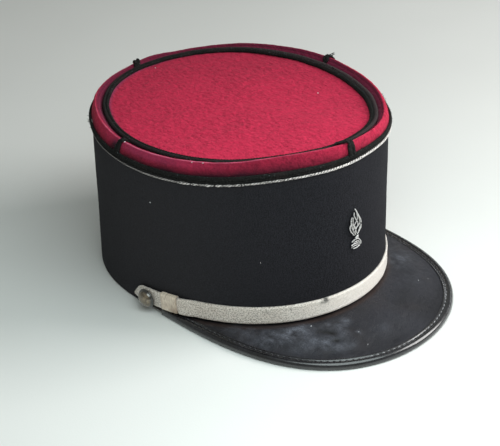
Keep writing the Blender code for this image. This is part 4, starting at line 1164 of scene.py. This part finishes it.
def fray_start(kind, angle, rng):
    """Where a loose thread leaves its braid."""
    if kind == "seam":
        rise = rng.uniform(0.1, 1.0)
        return top_point(angle, SEAM_HALF_LENGTH + 1.6 * MM, SEAM_HALF_WIDTH + 1.6 * MM,
                         mix(SEAM_BRAID_LOW, SEAM_BRAID_HIGH, rise))
    return felt_point(angle, 5.0, 0.6) if kind == "rim" else rim_cord_point(angle, 0.2, 1.6)


def make_frays():
    """Loose dark threads that stand off the braids, and the torn ends by the left upright."""
    rng = random.Random(23)
    parts = []
    for kind, middle, spread, count, length in FRAYS:
        for _ in range(count):
            angle = middle + rng.uniform(-spread, spread)
            start = fray_start(kind, angle, rng)
            out = np.array([math.sin(math.radians(angle)), -math.cos(math.radians(angle)), 0.0])
            aim = out * rng.uniform(0.2, 1.0)
            aim = aim + [rng.uniform(*span) for span in ((-0.7, 0.7), (-0.7, 0.7), (0.1, 0.9))]
            path = tuft(start, aim, length * rng.uniform(0.4, 1.0) * MM, rng)
            parts.append(sweep(path, np.linspace(0.12, 0.05, THREAD_POINTS) * MM, 5))
    for aside, length, rise in TORN:
        start = felt_point(UPRIGHTS["left"][0] + aside, 5.3, 0.5)
        path = tuft(start, (0.86, -0.3, rise), length * MM, rng, 0.15)
        parts.append(sweep(path, np.linspace(0.34, 0.12, THREAD_POINTS) * MM, 5))
    lay_mesh("frayed_threads", parts, BRAID)


def fibres(name, material, seed, roots, normals, length, radius, lean=0.9, bends=1):
    """Thousands of short fibres, each a tapered three-sided hair of one or more straight lengths (mm)."""
    rng = np.random.default_rng(seed)
    aim = unit(normals + lean * rng.normal(size=roots.shape))
    bend = 0.7 * rng.normal(size=roots.shape)
    reach = length * MM * rng.uniform(0.4, 1.0, len(roots))[:, None, None]
    s = np.linspace(0, 1, bends + 1)[:, None]
    path = roots[:, None] + (aim[:, None] * s + bend[:, None] * s * s * 0.5) * reach
    side = unit(np.cross(aim, rng.normal(size=roots.shape)))
    ring = circle(side, np.cross(aim, side), 2 * np.pi * np.arange(3) / 3)
    points = path[:, :, None] + ring[:, None] * ((1 - 0.75 * s ** 2) * radius * MM)[:, None]
    lay_mesh(name, list(points), material, flat=True)


def make_fibres():
    """The wool's short nap, the felt's nap along its crest, and the braids' fuzz."""
    rng = np.random.default_rng(7)
    angle, rise = (rng.uniform(*span, WOOL_HAIRS) for span in ((-180, 180), (0, 1)))
    roots = wall_point(angle, mix(foot_height(angle) + 2 * MM, seam_height(angle), rise))
    fibres("wool_nap", WOOL, 61, roots, level_out(roots), 0.7, 0.045)
    angle, row = (rng.uniform(*span, FELT_HAIRS) for span in ((-180, 180), (0.6, 7.5)))
    roots, normals = felt_point(angle, row, -0.05), felt_out(angle, row, 0.2, 0.1)
    fibres("felt_nap", FELT, 62, roots, normals, 0.6, 0.04)
    spans = ((-180, 180), (-0.1, 1.1), (-1.1, 1.1))
    angle, rise, across = (rng.uniform(*span, BRAID_HAIRS) for span in spans)
    bulge = 1.5 * np.sin(np.pi * np.clip(rise, 0, 1)) ** 0.4 * MM
    seam = seam_braid_point(angle, rise, bulge)
    cord = rim_cord_point(angle, across, 1.7 * np.sqrt(1 - (across / 1.15) ** 2))
    normals = np.concatenate([level_out(seam), np.broadcast_to(UP, cord.shape)])
    fibres("braid_fuzz", BRAID, 63, np.concatenate([seam, cord]), normals, 0.9, 0.05, 1.2, 2)


def make_lint():
    """Pale specks: short curled fibres."""
    rng = random.Random(31)
    places = [(wall_point(angle, height * MM, 0.15 * MM), size) for angle, height, size in LINT_ON_TUBE]
    places += [(disc_point(angle, share, -0.25 * MM), size) for angle, share, size in LINT_ON_DISC]
    places += [(felt_point(angle, row, 0.3), size) for angle, row, size in LINT_ON_BAND]
    for x, y, size in LINT_ON_PEAK:
        plan = np.array([[x, y]]) * MM
        angle, foot = foot_crossing(plan)
        share = (np.linalg.norm(plan) - foot + PEAK_TUCK) / (LINT_REACH - foot + PEAK_TUCK)
        height = peak_height(share, angle, foot, LINT_REACH) + 0.1 * MM
        places.append((np.append(plan[0], height), size))
    parts = []
    for spot, size in places:
        for _ in range(5):
            start = spot + np.array([rng.uniform(-0.3, 0.3) for _ in range(3)]) * size * MM
            aim = [rng.uniform(*span) for span in ((-1, 1), (-1, 1), (-0.2, 0.6))]
            path = tuft(start, aim, size * 1.6 * MM * rng.uniform(0.5, 1.0), rng, 1.0)
            parts.append(sweep(path, 0.12 * MM, 5))
    lay_mesh("lint_specks", parts, LINT)


make_tube()
make_turban()
make_disc()
make_seam_braid()
make_rim_cord()
for upright, (place, spots) in UPRIGHTS.items():
    make_upright(upright, place, spots)
make_piping()
make_peak()
make_binding()
make_stitches()
make_strap()
for hand, sign in (("right", -1), ("left", 1)):
    make_loop(hand, sign)
    make_button(hand, sign)
make_badge()
make_frays()
make_fibres()
make_lint()

# ---------------------------------------------------------------- floor, light and camera

FLOOR_REACH = 4.0
AZIMUTH, ELEVATION, ROLL = (math.radians(turn) for turn in (-41.094, 31.351, -2.582))
DISTANCE = 846.363 * MM
FOCAL, FRAME_WIDTH = 1334.37, 500       # pixels
SENSOR_WIDTH = 36                       # the lens's own millimetres
AIM_RIGHT, AIM_UP, AIM_HEIGHT = 4.602 * MM, -22.947 * MM, 50 * MM
WINDOW_RISE = math.radians(33)
FAR_WINDOW = math.radians(16)           # behind the wearer's left


def make_floor():
    """A plain pale floor."""
    mesh = bpy.data.meshes.new("floor")
    corners = [(x * FLOOR_REACH, y * FLOOR_REACH, 0) for x, y in ((-1, -1), (1, -1), (1, 1), (-1, 1))]
    mesh.from_pydata(corners, [], [(0, 1, 2, 3)])
    coat = Coat("pale_floor", Roughness=0.75, Specular_IOR_Level=0.25)
    coat.paint((228, 229, 227), [(coat.ramp(coat.noise(3.0, 3.0), 0.3, 0.7), (234, 235, 233))])
    mesh.materials.append(coat.bumped([(coat.noise(900), 0.00005)]))
    floor = bpy.data.objects.new("floor", mesh)
    bpy.context.collection.objects.link(floor)


def make_camera():
    """The camera at the photograph's place; gives its directions to the right and back."""
    back = Vector((math.sin(AZIMUTH) * math.cos(ELEVATION), -math.cos(AZIMUTH) * math.cos(ELEVATION),
                   math.sin(ELEVATION)))
    right = Vector((math.cos(AZIMUTH), math.sin(AZIMUTH), 0))
    up = back.cross(right)
    aim = Vector(CROWN) + Vector((0, 0, AIM_HEIGHT)) + right * AIM_RIGHT + up * AIM_UP
    level_right = right * math.cos(ROLL) + up * math.sin(ROLL)
    level_up = up * math.cos(ROLL) - right * math.sin(ROLL)
    lens = bpy.data.cameras.new("camera")
    lens.sensor_width = SENSOR_WIDTH
    lens.lens = FOCAL / FRAME_WIDTH * SENSOR_WIDTH
    lens.clip_start = 0.05
    camera = bpy.data.objects.new("camera", lens)
    turn = Matrix((level_right, level_up, back)).transposed().to_4x4()
    camera.matrix_world = Matrix.Translation(aim + back * DISTANCE) @ turn
    bpy.context.collection.objects.link(camera)
    bpy.context.scene.camera = camera
    return right, back


def area_light(name, place, target, size, power, colour):
    """A soft rectangular light aimed at a target."""
    light = bpy.data.lights.new(name, "AREA")
    light.shape = "RECTANGLE"
    light.size, light.size_y = size
    light.energy = power
    light.color = colour
    lamp = bpy.data.objects.new(name, light)
    lamp.location = place
    lamp.rotation_euler = (target - place).to_track_quat("-Z", "Y").to_euler()
    bpy.context.collection.objects.link(lamp)


def make_light(right, back):
    """A soft window low on the camera's right, a lamp over the floor, a far strip and a dim pale room."""
    world = bpy.data.worlds.new("room")
    world.use_nodes = True
    sky = world.node_tree.nodes["Background"]
    sky.inputs["Color"].default_value = (0.95, 1.0, 0.94, 1.0)
    sky.inputs["Strength"].default_value = 0.27
    bpy.context.scene.world = world
    middle = Vector((0, 0, 0.05))
    window = middle + (right * math.cos(WINDOW_RISE) + Vector((0, 0, math.sin(WINDOW_RISE)))) * 0.9
    area_light("window", window, middle, (0.5, 0.5), 6.7, (1.0, 0.985, 0.97))
    toward = Vector((back.x, back.y, 0)).normalized()
    lamp = right * 0.1 + toward * 0.29 + Vector((0, 0, 0.42))
    area_light("lamp", lamp, lamp - Vector((0, 0, 1)), (0.42, 0.42), 1.9, (0.88, 1.0, 1.0))
    far = middle + Vector((math.cos(FAR_WINDOW), math.sin(FAR_WINDOW), 0.3)) * 1.1
    area_light("far_window", far, middle, (1.3, 0.03), 0.9, (0.94, 0.96, 1.0))


make_floor()
make_light(*make_camera())
bpy.context.scene.view_settings.view_transform = "Standard"
